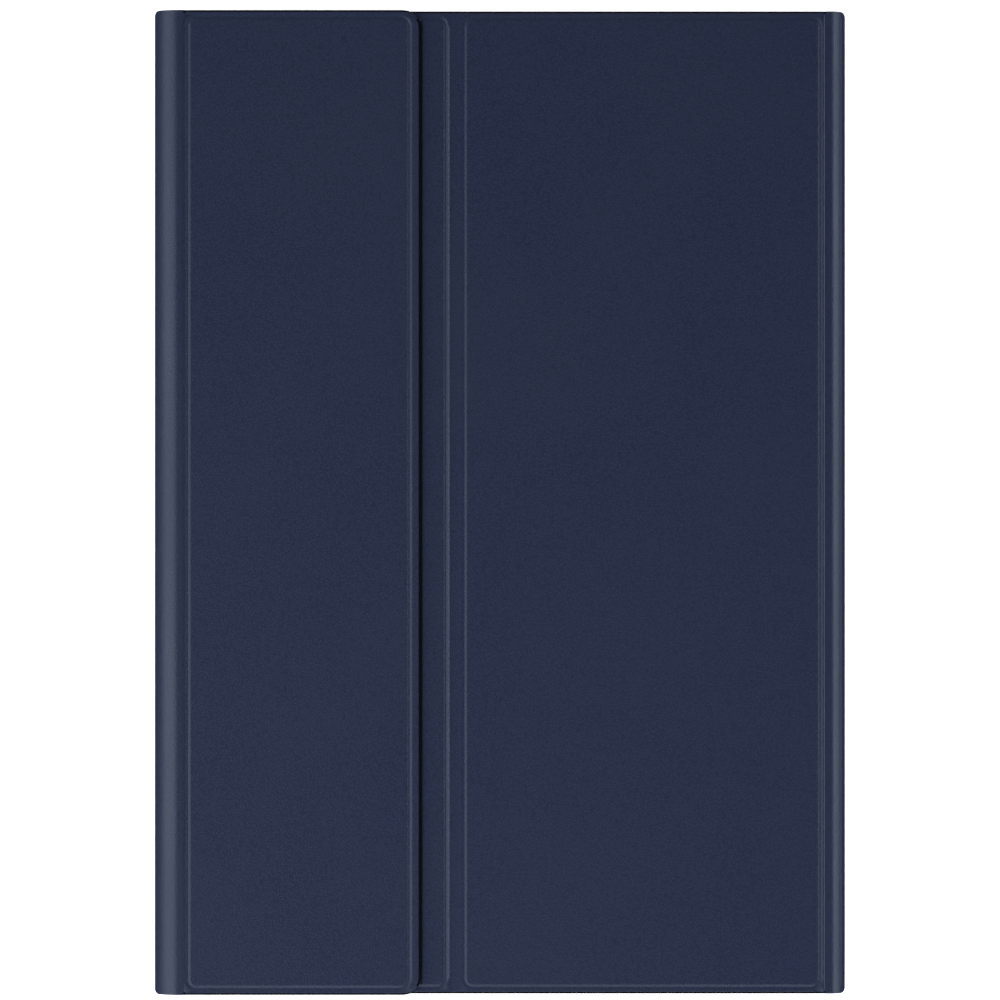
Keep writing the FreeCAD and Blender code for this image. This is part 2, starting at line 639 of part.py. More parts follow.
cap_shrink = d["key_gap"] / 2
well_shrink = cap_shrink - d["well_clearance"]
dome_radii = {"Radius1": d["dome_foot"], "Radius2": d["dome_crown"]}
wells = []
caps = {}
domes = {}
for row, (cap_node, dome_node, widths) in enumerate(KEY_ROWS):
    row_xs = (function_left, rows_left)
    if row > 0:
        row_left = rows_left + d["key_unit"] * (row - 1)
        row_xs = (row_left, row_left + d["key_unit"])
    column = 0
    for width in widths:
        key_ys = (d["key_unit"] * column - keys_half, d["key_unit"] * (column + width) - keys_half)
        key = f"{row}_{str(column).replace('.', '_')}"
        is_space = width == SPACE_WIDTH
        caps.setdefault("space_bar" if is_space else cap_node, []).append(
            key_block(f"cap_{key}", row_xs, key_ys, cap_shrink, (cap_z, cap_top)))
        wells.append(key_block(f"well_{key}", row_xs, key_ys, well_shrink, (frame_z, frame_top)))
        middle = ((row_xs[0] + row_xs[1]) / 2, (key_ys[0] + key_ys[1]) / 2)
        domes.setdefault("domes_space" if is_space else dome_node, []).append(
            stand(f"dome_{key}", "Part::Cone", middle, (dome_z, cap_z), dome_radii))
        column += width
for node, members in list(caps.items()) + list(domes.items()):
    nodes[node] = group(node, members)

# Keyboard: charging socket, controller board, battery

bar_inner_xs = (keyboard_left + largest(d["base_wall"], d["bar_wall"]), bar_right - d["bar_wall"])
board_xs = (bar_inner_xs[0] + d["board_clearance"], bar_inner_xs[1] - d["board_clearance"])
port_xs = about(bar_middle, d["port_width"])
port_zs = (base_top, base_top + d["port_height"])
port_ys = (board_end, port_outer)
port_shell = box("port_shell", port_xs, port_ys, port_zs)
port_mouth = box(
    "port_mouth", (port_xs[0] + d["port_wall"], port_xs[1] - d["port_wall"]),
    (board_end + d["tongue_inset"], port_outer),
    (port_zs[0] + d["port_wall"], port_zs[1] - d["port_wall"]))
tongue = box(
    "port_tongue", (port_xs[0] + d["tongue_inset"], port_xs[1] - d["tongue_inset"]),
    (board_end, port_outer - d["tongue_inset"]), about((port_zs[0] + port_zs[1]) / 2, d["tongue_thick"]))
nodes["charge_port"] = fuse("charge_port", [cut("port_sheet", port_shell, [port_mouth]), tongue])

board_top = base_top + d["board_thick"]
board_members = [box("board_plate", board_xs, (board_start, board_end), (base_top, board_top))]
for number in range(CHIP_COUNT):
    chip_y = housing_start - chip_step * (number + 1)
    board_members.append(box(
        f"chip_{number}", about(bar_middle, d["chip_size"]), (chip_y, chip_y + d["chip_size"]),
        (board_top, board_top + d["chip_thick"])))
nodes["controller_board"] = group("controller_board", board_members)
battery_room = d["boss_radius"] + d["battery_gap"]
nodes["battery"] = box(
    "battery", board_xs, (rear_bosses[0][1] + battery_room, rear_bosses[1][1] - battery_room),
    (base_top, base_top + d["battery_thick"]))

# Keyboard: power switch and status lights in the top of the rear bar

switch_y = (housing_start + housing_end) / 2
slot_width = d["knob_width"] + d["switch_clearance"] * 2
knob_start = switch_y - slot_length / 2 + d["switch_clearance"]
knob_ys = (knob_start, knob_start + d["knob_length"])
slider_top = bar_ceiling - d["switch_clearance"]
slider_z = slider_top - d["slider_thick"]
slider_xs = about(bar_middle, slot_width + d["slider_margin"] * 2)
slider_ys = (knob_ys[0] - d["slider_margin"], knob_ys[1] + d["slider_margin"])
nodes["power_switch"] = fuse("power_switch", [
    box("switch_knob", about(bar_middle, d["knob_width"]), knob_ys, (slider_z, bar_top + d["knob_rise"])),
    box("switch_slider", slider_xs, slider_ys, (slider_z, slider_top)),
])
nodes["switch_housing"] = box(
    "switch_housing", slider_xs, (housing_start, housing_end), (board_top, slider_z - d["switch_clearance"]))
first_light = housing_start - d["light_gap"]
light_places = [(bar_middle, first_light - d["light_pitch"] * number) for number in range(LIGHT_COUNT)]
lights = at_bosses("light", light_places, (bar_ceiling, bar_top), d["light_radius"])
nodes["status_lights"] = group("status_lights", lights)

# Keyboard: base, plate, switch sheet, frame, screws, bumpers

port_room = box(
    "port_room", (port_xs[0] - d["port_clearance"], port_xs[1] + d["port_clearance"]),
    (base_inner - d["port_depth"], keyboard_half),
    (base_top, port_zs[1] + d["port_clearance"]))
base_blank = box(
    "base_blank", (keyboard_left, keyboard_right), (-keyboard_half, keyboard_half), (keyboard_z, frame_z))
base_room = box(
    "base_room", (keyboard_left + d["base_wall"], keyboard_right - d["base_wall"]),
    (-base_inner, base_inner), (base_top, frame_z))
head_top = keyboard_z + d["screw_head_thick"]
base_cutters = [base_room, port_room]
base_cutters += at_bosses("base_head", boss_places, (keyboard_z, head_top), d["screw_head"])
base_cutters += at_bosses("base_hole", boss_places, (head_top, base_top), d["screw_radius"])
base_hollow = fuse("base_hollow", base_cutters)
nodes["keyboard_base"] = cut("keyboard_base", base_blank, [base_hollow])

plate_half = base_inner - d["plate_clearance"]
plate_xs = (bar_right, keyboard_right - d["base_wall"] - d["plate_clearance"])
boss_hole = d["boss_radius"] + d["boss_clearance"]
plate_blank = box("backplate_blank", plate_xs, (-plate_half, plate_half), (base_top, membrane_z))
plate_holes = at_bosses("plate_hole", web_bosses, (base_top, membrane_z), boss_hole)
nodes["key_backplate"] = cut("key_backplate", plate_blank, plate_holes)
tail_ys = about((board_start + board_end) / 2, d["tail_width"])
membrane_blank = fuse("membrane_blank", [
    box("membrane_sheet", plate_xs, (-plate_half, plate_half), (membrane_z, dome_z)),
    box("membrane_tail", (board_xs[1], bar_right), tail_ys, (membrane_z, dome_z)),
])
membrane_holes = at_bosses("membrane_hole", web_bosses, (membrane_z, dome_z), boss_hole)
nodes["key_membrane"] = cut("key_membrane", membrane_blank, membrane_holes)

frame_ys = (-keyboard_half, keyboard_half)
frame_blank = fuse("frame_blank", [
    box("frame_plate", (keyboard_left, keyboard_right), frame_ys, (frame_z, frame_top)),
    box("frame_bar", (keyboard_left, bar_right), frame_ys, (frame_z, bar_top)),
] + at_bosses("boss", boss_places, (base_top, frame_top), d["boss_radius"]))
bar_room = box(
    "bar_room", (keyboard_left + d["bar_wall"], bar_right - d["bar_wall"]),
    (-keyboard_half + d["bar_wall"], keyboard_half - d["bar_wall"]), (frame_z, bar_ceiling))
switch_slot = box(
    "switch_slot", about(bar_middle, slot_width), about(switch_y, slot_length), (bar_ceiling, bar_top))
screw_tip = frame_z - d["screw_shy"]
pilots = at_bosses("pilot", boss_places, (base_top, screw_tip), d["screw_radius"])
frame_hollow = fuse("frame_hollow", [bar_room, port_room, switch_slot])
frame_open = cut("frame_open", frame_blank, [frame_hollow])
rear_posts = at_bosses("rear_post", rear_bosses, (base_top, bar_ceiling), d["boss_radius"])
frame_whole = fuse("frame_whole", [frame_open] + rear_posts)
nodes["keyboard_frame"] = cut("keyboard_frame", frame_whole, wells + pilots + lights)

screw_heads = at_bosses("screw_head", boss_places, (keyboard_z, head_top), d["screw_head"])
screw_shanks = at_bosses("screw_shank", boss_places, (head_top, screw_tip), d["screw_radius"])
nodes["keyboard_screws"] = group("keyboard_screws", [
    fuse(f"screw_{number}", list(pair)) for number, pair in enumerate(zip(screw_heads, screw_shanks))])

bumper_seats = ((bar_middle, bar_top), ((keys_right + keyboard_right) / 2, frame_top))
bumpers = []
for bumper_x, seat in bumper_seats:
    for side in (-1, 1):
        bumpers.append(box(
            f"bumper_{len(bumpers)}", about(bumper_x, d["bumper_width"]),
            about(bumper_y * side, d["bumper_length"]), (seat, bumper_top)))
nodes["keyboard_bumpers"] = group("keyboard_bumpers", bumpers)

# Check every object and write each piece to its own file

doc.recompute()
for item in doc.Objects:
    if "Invalid" in item.State or "Error" in item.State:
        raise ValueError(f"{item.Name} failed to build: {item.State}")
for node, piece in nodes.items():
    piece.Label = node
    if piece.Shape.isNull() or not piece.Shape.isValid():
        raise ValueError(f"{node} has no valid shape")

os.makedirs("parts", exist_ok=True)
for node, piece in nodes.items():
    piece.Shape.exportStep(f"parts/{node}.step")
    print(node, len(piece.Shape.Solids), round(piece.Shape.Volume, 2))
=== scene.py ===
import json
import logging
import math
from dataclasses import dataclass
from enum import Enum, IntEnum
from typing import Any, Callable, Sequence

import bmesh
import bpy
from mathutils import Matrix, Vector


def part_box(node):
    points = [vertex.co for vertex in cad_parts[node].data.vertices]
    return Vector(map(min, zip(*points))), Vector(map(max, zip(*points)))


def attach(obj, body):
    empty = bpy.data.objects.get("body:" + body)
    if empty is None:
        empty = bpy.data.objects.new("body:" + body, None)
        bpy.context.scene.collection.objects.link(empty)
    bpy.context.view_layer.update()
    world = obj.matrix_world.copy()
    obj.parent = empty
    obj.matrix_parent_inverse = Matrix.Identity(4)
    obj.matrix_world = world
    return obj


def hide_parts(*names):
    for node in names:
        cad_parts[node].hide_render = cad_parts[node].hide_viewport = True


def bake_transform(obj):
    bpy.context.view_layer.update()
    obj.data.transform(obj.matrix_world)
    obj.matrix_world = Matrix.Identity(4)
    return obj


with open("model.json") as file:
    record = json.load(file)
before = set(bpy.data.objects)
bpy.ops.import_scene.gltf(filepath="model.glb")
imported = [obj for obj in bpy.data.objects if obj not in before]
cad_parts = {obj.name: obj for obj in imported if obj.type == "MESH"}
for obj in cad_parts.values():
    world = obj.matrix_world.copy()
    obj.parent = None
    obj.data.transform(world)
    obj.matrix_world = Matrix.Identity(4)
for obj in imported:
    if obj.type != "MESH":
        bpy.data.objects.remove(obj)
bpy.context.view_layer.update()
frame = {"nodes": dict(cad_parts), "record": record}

LOG = logging.getLogger("keyboard_case")
MM = 0.001  # metres
NEAR = 0.004  # a point this close to a place, in millimetres, is at it
STRAIGHT = 0.99  # cosine from which a face counts as facing a direction

Pair = tuple[float, float]
Colour = tuple[float, float, float]
Point = tuple[float, float, float]
Test = Callable[[Any], bool]


class Kind(Enum):
    """What a selection is made of."""

    VERT = "VERT"
    EDGE = "EDGE"
    FACE = "FACE"


class Axis(IntEnum):
    """The frame's axes."""

    X = 0
    Y = 1
    Z = 2


class Grain(Enum):
    """The surface patterns that the finishes share."""

    PEBBLE = "pebble_grain"
    NAP = "fine_nap"
    MOULD = "moulded_texture"
    BRUSH = "brushed_lines"


def mm(*values: float) -> Vector:
    """Returns a vector in metres from three lengths in millimetres."""
    return Vector(values) * MM


def points(item: Any) -> list[Vector]:
    """Returns the places, in millimetres, of a vertex or of the corners of an edge or face."""
    corners = [item] if isinstance(item, bmesh.types.BMVert) else item.verts
    return [corner.co / MM for corner in corners]


def at(**places: float) -> Test:
    """Makes a test for items that lie wholly at given places.

    Args:
        places: x, y or z in millimetres; y counts on both sides of the middle.

    Returns:
        The test.
    """

    def test(item: Any) -> bool:
        """Tells whether every corner is at the places, and on one side where y is given."""
        if "y" in places and len({p.y > 0 for p in points(item)}) > 1:
            return False
        return all(
            abs((abs(p.y) if axis == "y" else getattr(p, axis)) - place) < NEAR
            for p in points(item)
            for axis, place in places.items()
        )

    return test


def within(**spans: Pair) -> Test:
    """Makes a test for items that lie wholly inside given spans.

    Args:
        spans: a (low, high) pair in millimetres for x, y or z.

    Returns:
        The test.
    """

    def test(item: Any) -> bool:
        """Tells whether every corner is inside the spans."""
        return all(
            low - NEAR < getattr(p, axis) < high + NEAR
            for p in points(item)
            for axis, (low, high) in spans.items()
        )

    return test


def facing(z: int) -> Test:
    """Returns a test for faces that point straight up, 1, or down, -1."""
    return lambda face: face.normal.z * z > STRAIGHT


def along(axis: Axis, length: float) -> Test:
    """Returns a test for edges that run further along an axis than some millimetres."""
    return lambda edge: abs(edge.verts[0].co[axis] - edge.verts[1].co[axis]) > length * MM


def free(edge: Any) -> bool:
    """Tells whether an edge is on an open rim."""
    return len(edge.link_faces) < 2


def turned(edge: Any) -> bool:
    """Tells whether a flat face and an upright one meet at an edge."""
    rises = sorted(abs(face.normal.z) for face in edge.link_faces)
    return len(rises) == 2 and rises[0] < 0.1 and rises[1] > 0.9


def every(*tests: Test) -> Test:
    """Returns a test that passes where all of the given tests do."""
    return lambda item: all(test(item) for test in tests)


def leave_edit_mode() -> None:
    """Goes back to object mode, if a mesh is open."""
    if bpy.context.mode != "OBJECT":
        bpy.ops.object.mode_set(mode="OBJECT")


def select_only(*objects: Any) -> None:
    """Selects some objects and nothing else, and makes the first one active."""
    bpy.ops.object.select_all(action="DESELECT")
    for obj in objects:
        obj.select_set(True)
    bpy.context.view_layer.objects.active = objects[0]


class Bench:
    """One mesh on the bench, added as a primitive and shaped in edit mode."""

    def __init__(self, name: str) -> None:
        """Clears the bench for a piece of this name."""
        leave_edit_mode()
        bpy.ops.object.select_all(action="DESELECT")
        self.name = name
        self.obj: Any = None

    def _add(self, operator: Callable, low: Point, high: Point, **extra: Any) -> "Bench":
        """Adds a primitive that fills a box, as a new piece or in the open mesh.

        Args:
            operator: the primitive's operator.
            low: the box's lowest corner in millimetres.
            high: its highest corner.
            extra: the operator's own settings.

        Returns:
            This bench.
        """
        centre = (mm(*low) + mm(*high)) / 2
        size = [max(b - a, 1e-3) * MM for a, b in zip(low, high)]
        if self.obj:
            bpy.ops.mesh.select_all(action="DESELECT")
        operator(location=centre, **extra)
        if not self.obj:
            self.obj = bpy.context.active_object
            self.obj.name = self.obj.data.name = self.name
            bpy.ops.object.transform_apply(location=True, rotation=True, scale=True)
            bpy.ops.object.mode_set(mode="EDIT")
            bpy.ops.mesh.select_all(action="SELECT")
        bpy.ops.transform.resize(value=size, center_override=centre)
        return self

    def plane(self, low: Point, high: Point) -> "Bench":
        """Adds a flat rectangle between two corners."""
        return self._add(bpy.ops.mesh.primitive_plane_add, low, high, size=1)

    def block(self, low: Point, high: Point) -> "Bench":
        """Adds a block between two corners."""
        return self._add(bpy.ops.mesh.primitive_cube_add, low, high, size=1)

    def drum(self, low: Point, high: Point, sides: int) -> "Bench":
        """Adds an upright cylinder between two corners."""
        add = bpy.ops.mesh.primitive_cylinder_add
        return self._add(add, low, high, vertices=sides, radius=0.5, depth=1)

    def pick(self, kind: Kind, test: Test) -> "Bench":
        """Selects the items of one kind that pass a test, and nothing else.

        Args:
            kind: vertices, edges or faces.
            test: the test.

        Returns:
            This bench.
        """
        bpy.ops.mesh.select_mode(type=kind.value)
        bpy.ops.mesh.select_all(action="DESELECT")
        mesh = bmesh.from_edit_mesh(self.obj.data)
        items = {Kind.VERT: mesh.verts, Kind.EDGE: mesh.edges, Kind.FACE: mesh.faces}[kind]
        chosen = [item for item in items if test(item)]
        if not chosen:
            raise ValueError(f"{self.name}: nothing to select")
        for item in chosen:
            item.select_set(True)
        mesh.select_flush_mode()
        bmesh.update_edit_mesh(self.obj.data)
        return self

    def corners(self, radius: float, steps: int = 6) -> "Bench":
        """Rounds the selected corners of a flat sheet."""
        bpy.ops.mesh.bevel(offset=radius * MM, segments=steps, affect="VERTICES")
        return self

    def round(self, radius: float, steps: int = 4) -> "Bench":
        """Rounds the selected edges."""
        bpy.ops.mesh.bevel(offset=radius * MM, segments=steps, affect="EDGES")
        return self

    def inset(self, run: float, rise: float = 0) -> "Bench":
        """Insets the selected faces and lifts what is inside."""
        bpy.ops.mesh.inset(thickness=run * MM, depth=rise * MM, use_even_offset=True)
        return self

    def pull_edges(self, x: float = 0, y: float = 0, z: float = 0) -> "Bench":
        """Extrudes the selected edges by a move."""
        bpy.ops.mesh.extrude_edges_move(TRANSFORM_OT_translate={"value": mm(x, y, z)})
        return self

    def pull_faces(self, x: float = 0, y: float = 0, z: float = 0) -> "Bench":
        """Extrudes the selected faces by a move."""
        bpy.ops.mesh.extrude_region_move(TRANSFORM_OT_translate={"value": mm(x, y, z)})
        return self

    def move(self, x: float = 0, y: float = 0, z: float = 0) -> "Bench":
        """Moves what is selected."""
        bpy.ops.transform.translate(value=mm(x, y, z))
        return self

    def resize(self, centre: Point, x: float = 1, y: float = 1, z: float = 1) -> "Bench":
        """Scales what is selected about a centre."""
        bpy.ops.transform.resize(value=(x, y, z), center_override=mm(*centre))
        return self

    def roll(self, centre: Point, degrees: float, steps: int) -> "Bench":
        """Spins the selected edges about an axis along Y."""
        angle = -math.radians(degrees)
        bpy.ops.mesh.spin(steps=steps, angle=angle, center=mm(*centre), axis=(0, 1, 0))
        return self

    def pull_along(self, start: Pair, path: Sequence[Pair]) -> "Bench":
        """Extrudes the selected edges from point to point of a path in X and Z."""
        x, z = start
        for next_x, next_z in path:
            self.pull_edges(x=next_x - x, z=next_z - z)
            x, z = next_x, next_z
        return self

    def slice(self, place: float, axis: Axis = Axis.X) -> "Bench":
        """Cuts a new row of edges across the whole mesh at a place along an axis."""
        across = Vector([float(way is axis) for way in Axis])
        bpy.ops.mesh.select_all(action="SELECT")
        bpy.ops.mesh.bisect(plane_co=across * place * MM, plane_no=across)
        return self

    def merge(self) -> "Bench":
        """Merges doubled points."""
        bpy.ops.mesh.select_all(action="SELECT")
        bpy.ops.mesh.remove_doubles(threshold=0.01 * MM)
        return self

    def weld(self, z: int = 0) -> "Bench":
        """Merges doubled points and turns the faces outwards.

        Args:
            z: the way along Z that the largest face points; 0 leaves it as it is.

        Returns:
            This bench.
        """
        self.merge()
        bpy.ops.mesh.select_all(action="SELECT")
        bpy.ops.mesh.normals_make_consistent(inside=False)
        mesh = bmesh.from_edit_mesh(self.obj.data)
        largest = max(mesh.faces, key=lambda face: face.calc_area())
        largest.normal_update()
        if largest.normal.z * z < 0:
            bpy.ops.mesh.flip_normals()
        return self

    def thicken(self, thickness: float) -> "Bench":
        """Gives the sheet a thickness, inwards."""
        return self.modify("SOLIDIFY", thickness=thickness * MM, offset=-1)

    def cut(self, cutters: Sequence[Any]) -> "Bench":
        """Cuts finished blocks out of the piece and uses them up."""
        cutter = join("cutter", cutters)
        self.modify("BOOLEAN", object=cutter, operation="DIFFERENCE", solver="EXACT")
        discard(cutter)
        return self

    def soften(self, width: float, steps: int = 3, degrees: float = 50) -> "Bench":
        """Rounds every edge sharper than an angle."""
        angle = {"limit_method": "ANGLE", "angle_limit": math.radians(degrees)}
        return self.modify("BEVEL", width=width * MM, segments=steps, **angle)

    def modify(self, kind: str, **settings: Any) -> "Bench":
        """Adds a modifier and applies it.

        Args:
            kind: the modifier's type.
            settings: its settings.

        Returns:
            This bench.
        """
        leave_edit_mode()
        bpy.context.view_layer.objects.active = self.obj
        modifier = self.obj.modifiers.new(kind.title(), kind)
        for key, value in settings.items():
            setattr(modifier, key, value)
        bpy.ops.object.modifier_apply(modifier=modifier.name)
        return self

    def finish(self, degrees: float = 40) -> Any:
        """Shades the piece smooth up to an angle and takes it off the bench.

        Args:
            degrees: edges sharper than this stay sharp.

        Returns:
            The finished object.
        """
        leave_edit_mode()
        select_only(self.obj)
        bpy.ops.object.shade_smooth_by_angle(angle=math.radians(degrees))
        self.modify("WEIGHTED_NORMAL", keep_sharp=True)
        bpy.ops.object.select_all(action="DESELECT")
        return self.obj


class Graph:
    """A node tree with short calls to add and link its nodes."""

    def __init__(self, tree: Any) -> None:
        """Takes a material's or a group's tree."""
        self.tree = tree

    def add(self, kind: str, values: dict[Any, Any] | None = None, **settings: Any) -> Any:
        """Adds a node.

        Args:
            kind: the node's type, without its ShaderNode prefix.
            values: what to set or link on its inputs, by name or number.
            settings: the node's own settings.

        Returns:
            The node.
        """
        node = self.tree.nodes.new("ShaderNode" + kind)
        for key, value in settings.items():
            setattr(node, key, value)
        for key, value in (values or {}).items():
            if isinstance(value, bpy.types.NodeSocket):
                self.tree.links.new(value, node.inputs[key])
            else:
                node.inputs[key].default_value = value
        return node

    def maths(self, operation: str, *values: Any) -> Any:
        """Adds a Math node and returns its result."""
        return self.add("Math", dict(enumerate(values)), operation=operation).outputs[0]

    def ramp(self, value: Any, low: float, high: float, start: Any = 0, end: Any = 1) -> Any:
        """Adds a smooth Map Range and returns its result."""
        given = {"Value": value, "From Min": low, "From Max": high, "To Min": start, "To Max": end}
        return self.add("MapRange", given, interpolation_type="SMOOTHSTEP").outputs[0]

    def noise(self, place: Any, scale: Any, detail: float = 2.0) -> Any:
        """Adds a noise texture and returns its value."""
        given = {"Vector": place, "Scale": scale, "Detail": detail}
        return self.add("TexNoise", given).outputs[0]

    def tint(self, share: Any, first: Colour, second: Colour) -> Any:
        """Adds a colour mix and returns its result."""
        given = {0: share, 6: (*first, 1), 7: (*second, 1)}
        return self.add("Mix", given, data_type="RGBA").outputs[2]


def pattern_group(grain: Grain) -> Any:
    """Builds the node group of a surface pattern, once.

    Args:
        grain: which pattern.

    Returns:
        The group, with inputs Scale and Warp and outputs Height, Crease and Cloud.
    """
    found = bpy.data.node_groups.get(grain.value)
    if found:
        return found
    group = bpy.data.node_groups.new(grain.value, "ShaderNodeTree")
    for name, default in (("Scale", 1000.0), ("Warp", 0.2)):
        socket = group.interface.new_socket(name, in_out="INPUT", socket_type="NodeSocketFloat")
        socket.default_value = default
    for name in ("Height", "Crease", "Cloud"):
        group.interface.new_socket(name, in_out="OUTPUT", socket_type="NodeSocketFloat")
    graph = Graph(group)
    given = graph.tree.nodes.new("NodeGroupInput")
    out = graph.tree.nodes.new("NodeGroupOutput")
    place = graph.add("TexCoord").outputs["Object"]
    scale, warp = given.outputs["Scale"], given.outputs["Warp"]
    cloud = graph.noise(place, 28.0, 4.0)
    if grain is Grain.PEBBLE:
        stir = graph.add("TexNoise", {"Vector": place, "Scale": scale, "Detail": 2.0})
        amount = {0: stir.outputs["Color"], "Scale": graph.maths("DIVIDE", warp, scale)}
        shift = graph.add("VectorMath", amount, operation="SCALE").outputs[0]
        moved = graph.add("VectorMath", {0: place, 1: shift}).outputs[0]
        spots = {"Vector": moved, "Scale": scale}
        cells = graph.add("TexVoronoi", spots, feature="DISTANCE_TO_EDGE")
        crease = graph.ramp(cells.outputs["Distance"], 0.02, 0.28, 1, 0)
        dust = graph.noise(place, graph.maths("MULTIPLY", scale, 2.7))
        height = graph.maths("SUBTRACT", graph.maths("MULTIPLY", dust, 0.5), crease)
    elif grain is Grain.BRUSH:
        lines = graph.add("Mapping", {"Vector": place, "Scale": (1.0, 0.02, 1.0)}).outputs[0]
        streak = graph.noise(lines, scale, 3.0)
        crease = graph.ramp(streak, 0.45, 0.75)
        height = graph.maths("MULTIPLY", streak, warp)
    else:
        fine = graph.noise(place, scale, 6.0 if grain is Grain.NAP else 2.0)
        patch = graph.noise(place, graph.maths("MULTIPLY", scale, 0.23))
        crease = graph.ramp(graph.maths("ADD", fine, patch), 0.75, 1.3)
        height = graph.maths("ADD", fine, graph.maths("MULTIPLY", patch, warp))
    for name, value in (("Height", height), ("Crease", crease), ("Cloud", cloud)):
        graph.tree.links.new(value, out.inputs[name])
    return group


@dataclass(frozen=True)
class Finish:
    """A material made of one shader over a shared pattern.

    Attributes:
        name: the material's name.
        base: its colour on the open surface.
        shade: its colour in the pattern's creases.
        grain: the pattern.
        cell: the pattern's size in millimetres.
        warp: how strongly the pattern is stirred.
        depth: the pattern's depth in millimetres.
        strength: how strongly the depth shows.
        rough: the roughness of the smoothest and the roughest spots.
        gloss: the shader's specular level.
        metal: how metallic it is.
        sheen: how much soft cloth sheen it has.
        coat: how much clear coat it has.
        fade: how much the colour drifts over the surface.
        glow: how strongly it lights up.
        tint: the colour of its reflections.
    """

    name: str
    base: Colour
    shade: Colour
    grain: Grain = Grain.MOULD
    cell: float = 0.3
    warp: float = 0.4
    depth: float = 0.02
    strength: float = 0.3
    rough: Pair = (0.4, 0.55)
    gloss: float = 0.5
    metal: float = 0.0
    sheen: float = 0.0
    coat: float = 0.0
    fade: float = 0.15
    glow: float = 0.0
    tint: Colour = (1.0, 1.0, 1.0)

    def make(self) -> Any:
        """Builds the material once and returns it."""
        name = self.name + "_finish"
        found = bpy.data.materials.get(name)
        if found:
            return found
        material = bpy.data.materials.new(name)
        material.use_nodes = True
        graph = Graph(material.node_tree)
        shader = material.node_tree.nodes["Principled BSDF"]
        pattern = graph.add("Group", node_tree=pattern_group(self.grain))
        pattern.inputs["Scale"].default_value = 1 / (self.cell * MM)
        pattern.inputs["Warp"].default_value = self.warp
        drift = graph.ramp(pattern.outputs["Cloud"], 0.3, 0.7, 0, self.fade)
        crease = graph.maths("MULTIPLY", pattern.outputs["Crease"], 0.8)
        colour = graph.tint(graph.maths("MAXIMUM", crease, drift), self.base, self.shade)
        rough = graph.ramp(pattern.outputs["Cloud"], 0.25, 0.75, *self.rough)
        bump = graph.add("Bump", {"Height": pattern.outputs["Height"]})
        bump.inputs["Strength"].default_value = self.strength
        bump.inputs["Distance"].default_value = self.depth * MM
        linked = {"Base Color": colour, "Roughness": rough, "Normal": bump.outputs[0]}
        for socket, value in linked.items():
            graph.tree.links.new(value, shader.inputs[socket])
        constants = {
            "Specular IOR Level": self.gloss,
            "Metallic": self.metal,
            "Sheen Weight": self.sheen,
            "Coat Weight": self.coat,
            "Emission Strength": self.glow,
            "Specular Tint": (*self.tint, 1),
        }
        for socket, value in constants.items():
            shader.inputs[socket].default_value = value
        if self.glow:
            shader.inputs["Emission Color"].default_value = (*self.base, 1)
        return material

    def dress(self, obj: Any) -> None:
        """Gives an object this material in place of any other."""
        obj.data.materials.clear()
        obj.data.materials.append(self.make())


NAVY = Finish(
    "navy_leather", (0.0085, 0.0135, 0.0385), (0.0041, 0.0066, 0.0215), Grain.PEBBLE, cell=0.75,
    warp=0.6, depth=0.06, strength=0.35, rough=(0.44, 0.49), gloss=0.32, fade=0.25,
    tint=(0.74, 0.86, 1.0),
)
LINING = Finish(
    "lining_microfibre", (0.052, 0.058, 0.072), (0.030, 0.034, 0.045), Grain.NAP, cell=0.35,
    warp=0.8, depth=0.05, strength=0.5, rough=(0.86, 0.96), gloss=0.12, sheen=0.25, fade=0.35,
)
TRAY = Finish(
    "tray_plastic", (0.020, 0.023, 0.032), (0.012, 0.014, 0.020), cell=0.22, depth=0.02,
    rough=(0.48, 0.58), gloss=0.4,
)
CASE = Finish(
    "keyboard_plastic", (0.024, 0.025, 0.029), (0.014, 0.015, 0.018), cell=0.2, depth=0.025,
    rough=(0.46, 0.56), gloss=0.42,
)
KEY = Finish(
    "key_plastic", (0.017, 0.018, 0.021), (0.010, 0.011, 0.013), cell=0.16, depth=0.015,
    rough=(0.40, 0.50), gloss=0.45,
)
# near-black edge paint, used also as painted shade that darkens the turned-down edges and the flap's
# free edge
EDGE_PAINT_AND_SHADE = Finish(
    "edge_paint_and_shade", (0.0040, 0.0040, 0.0055), (0.0025, 0.0025, 0.0030), cell=0.3, depth=0.02,
    rough=(0.62, 0.75), gloss=0.0,
)
LEGEND = Finish(
    "legend_print", (0.62, 0.64, 0.68), (0.46, 0.48, 0.52), cell=0.12, depth=0.004,
    rough=(0.5, 0.6), gloss=0.3,
)
RUBBER = Finish(
    "rubber", (0.016, 0.016, 0.017), (0.010, 0.010, 0.010), cell=0.18, depth=0.03,
    rough=(0.72, 0.84), gloss=0.25,
)
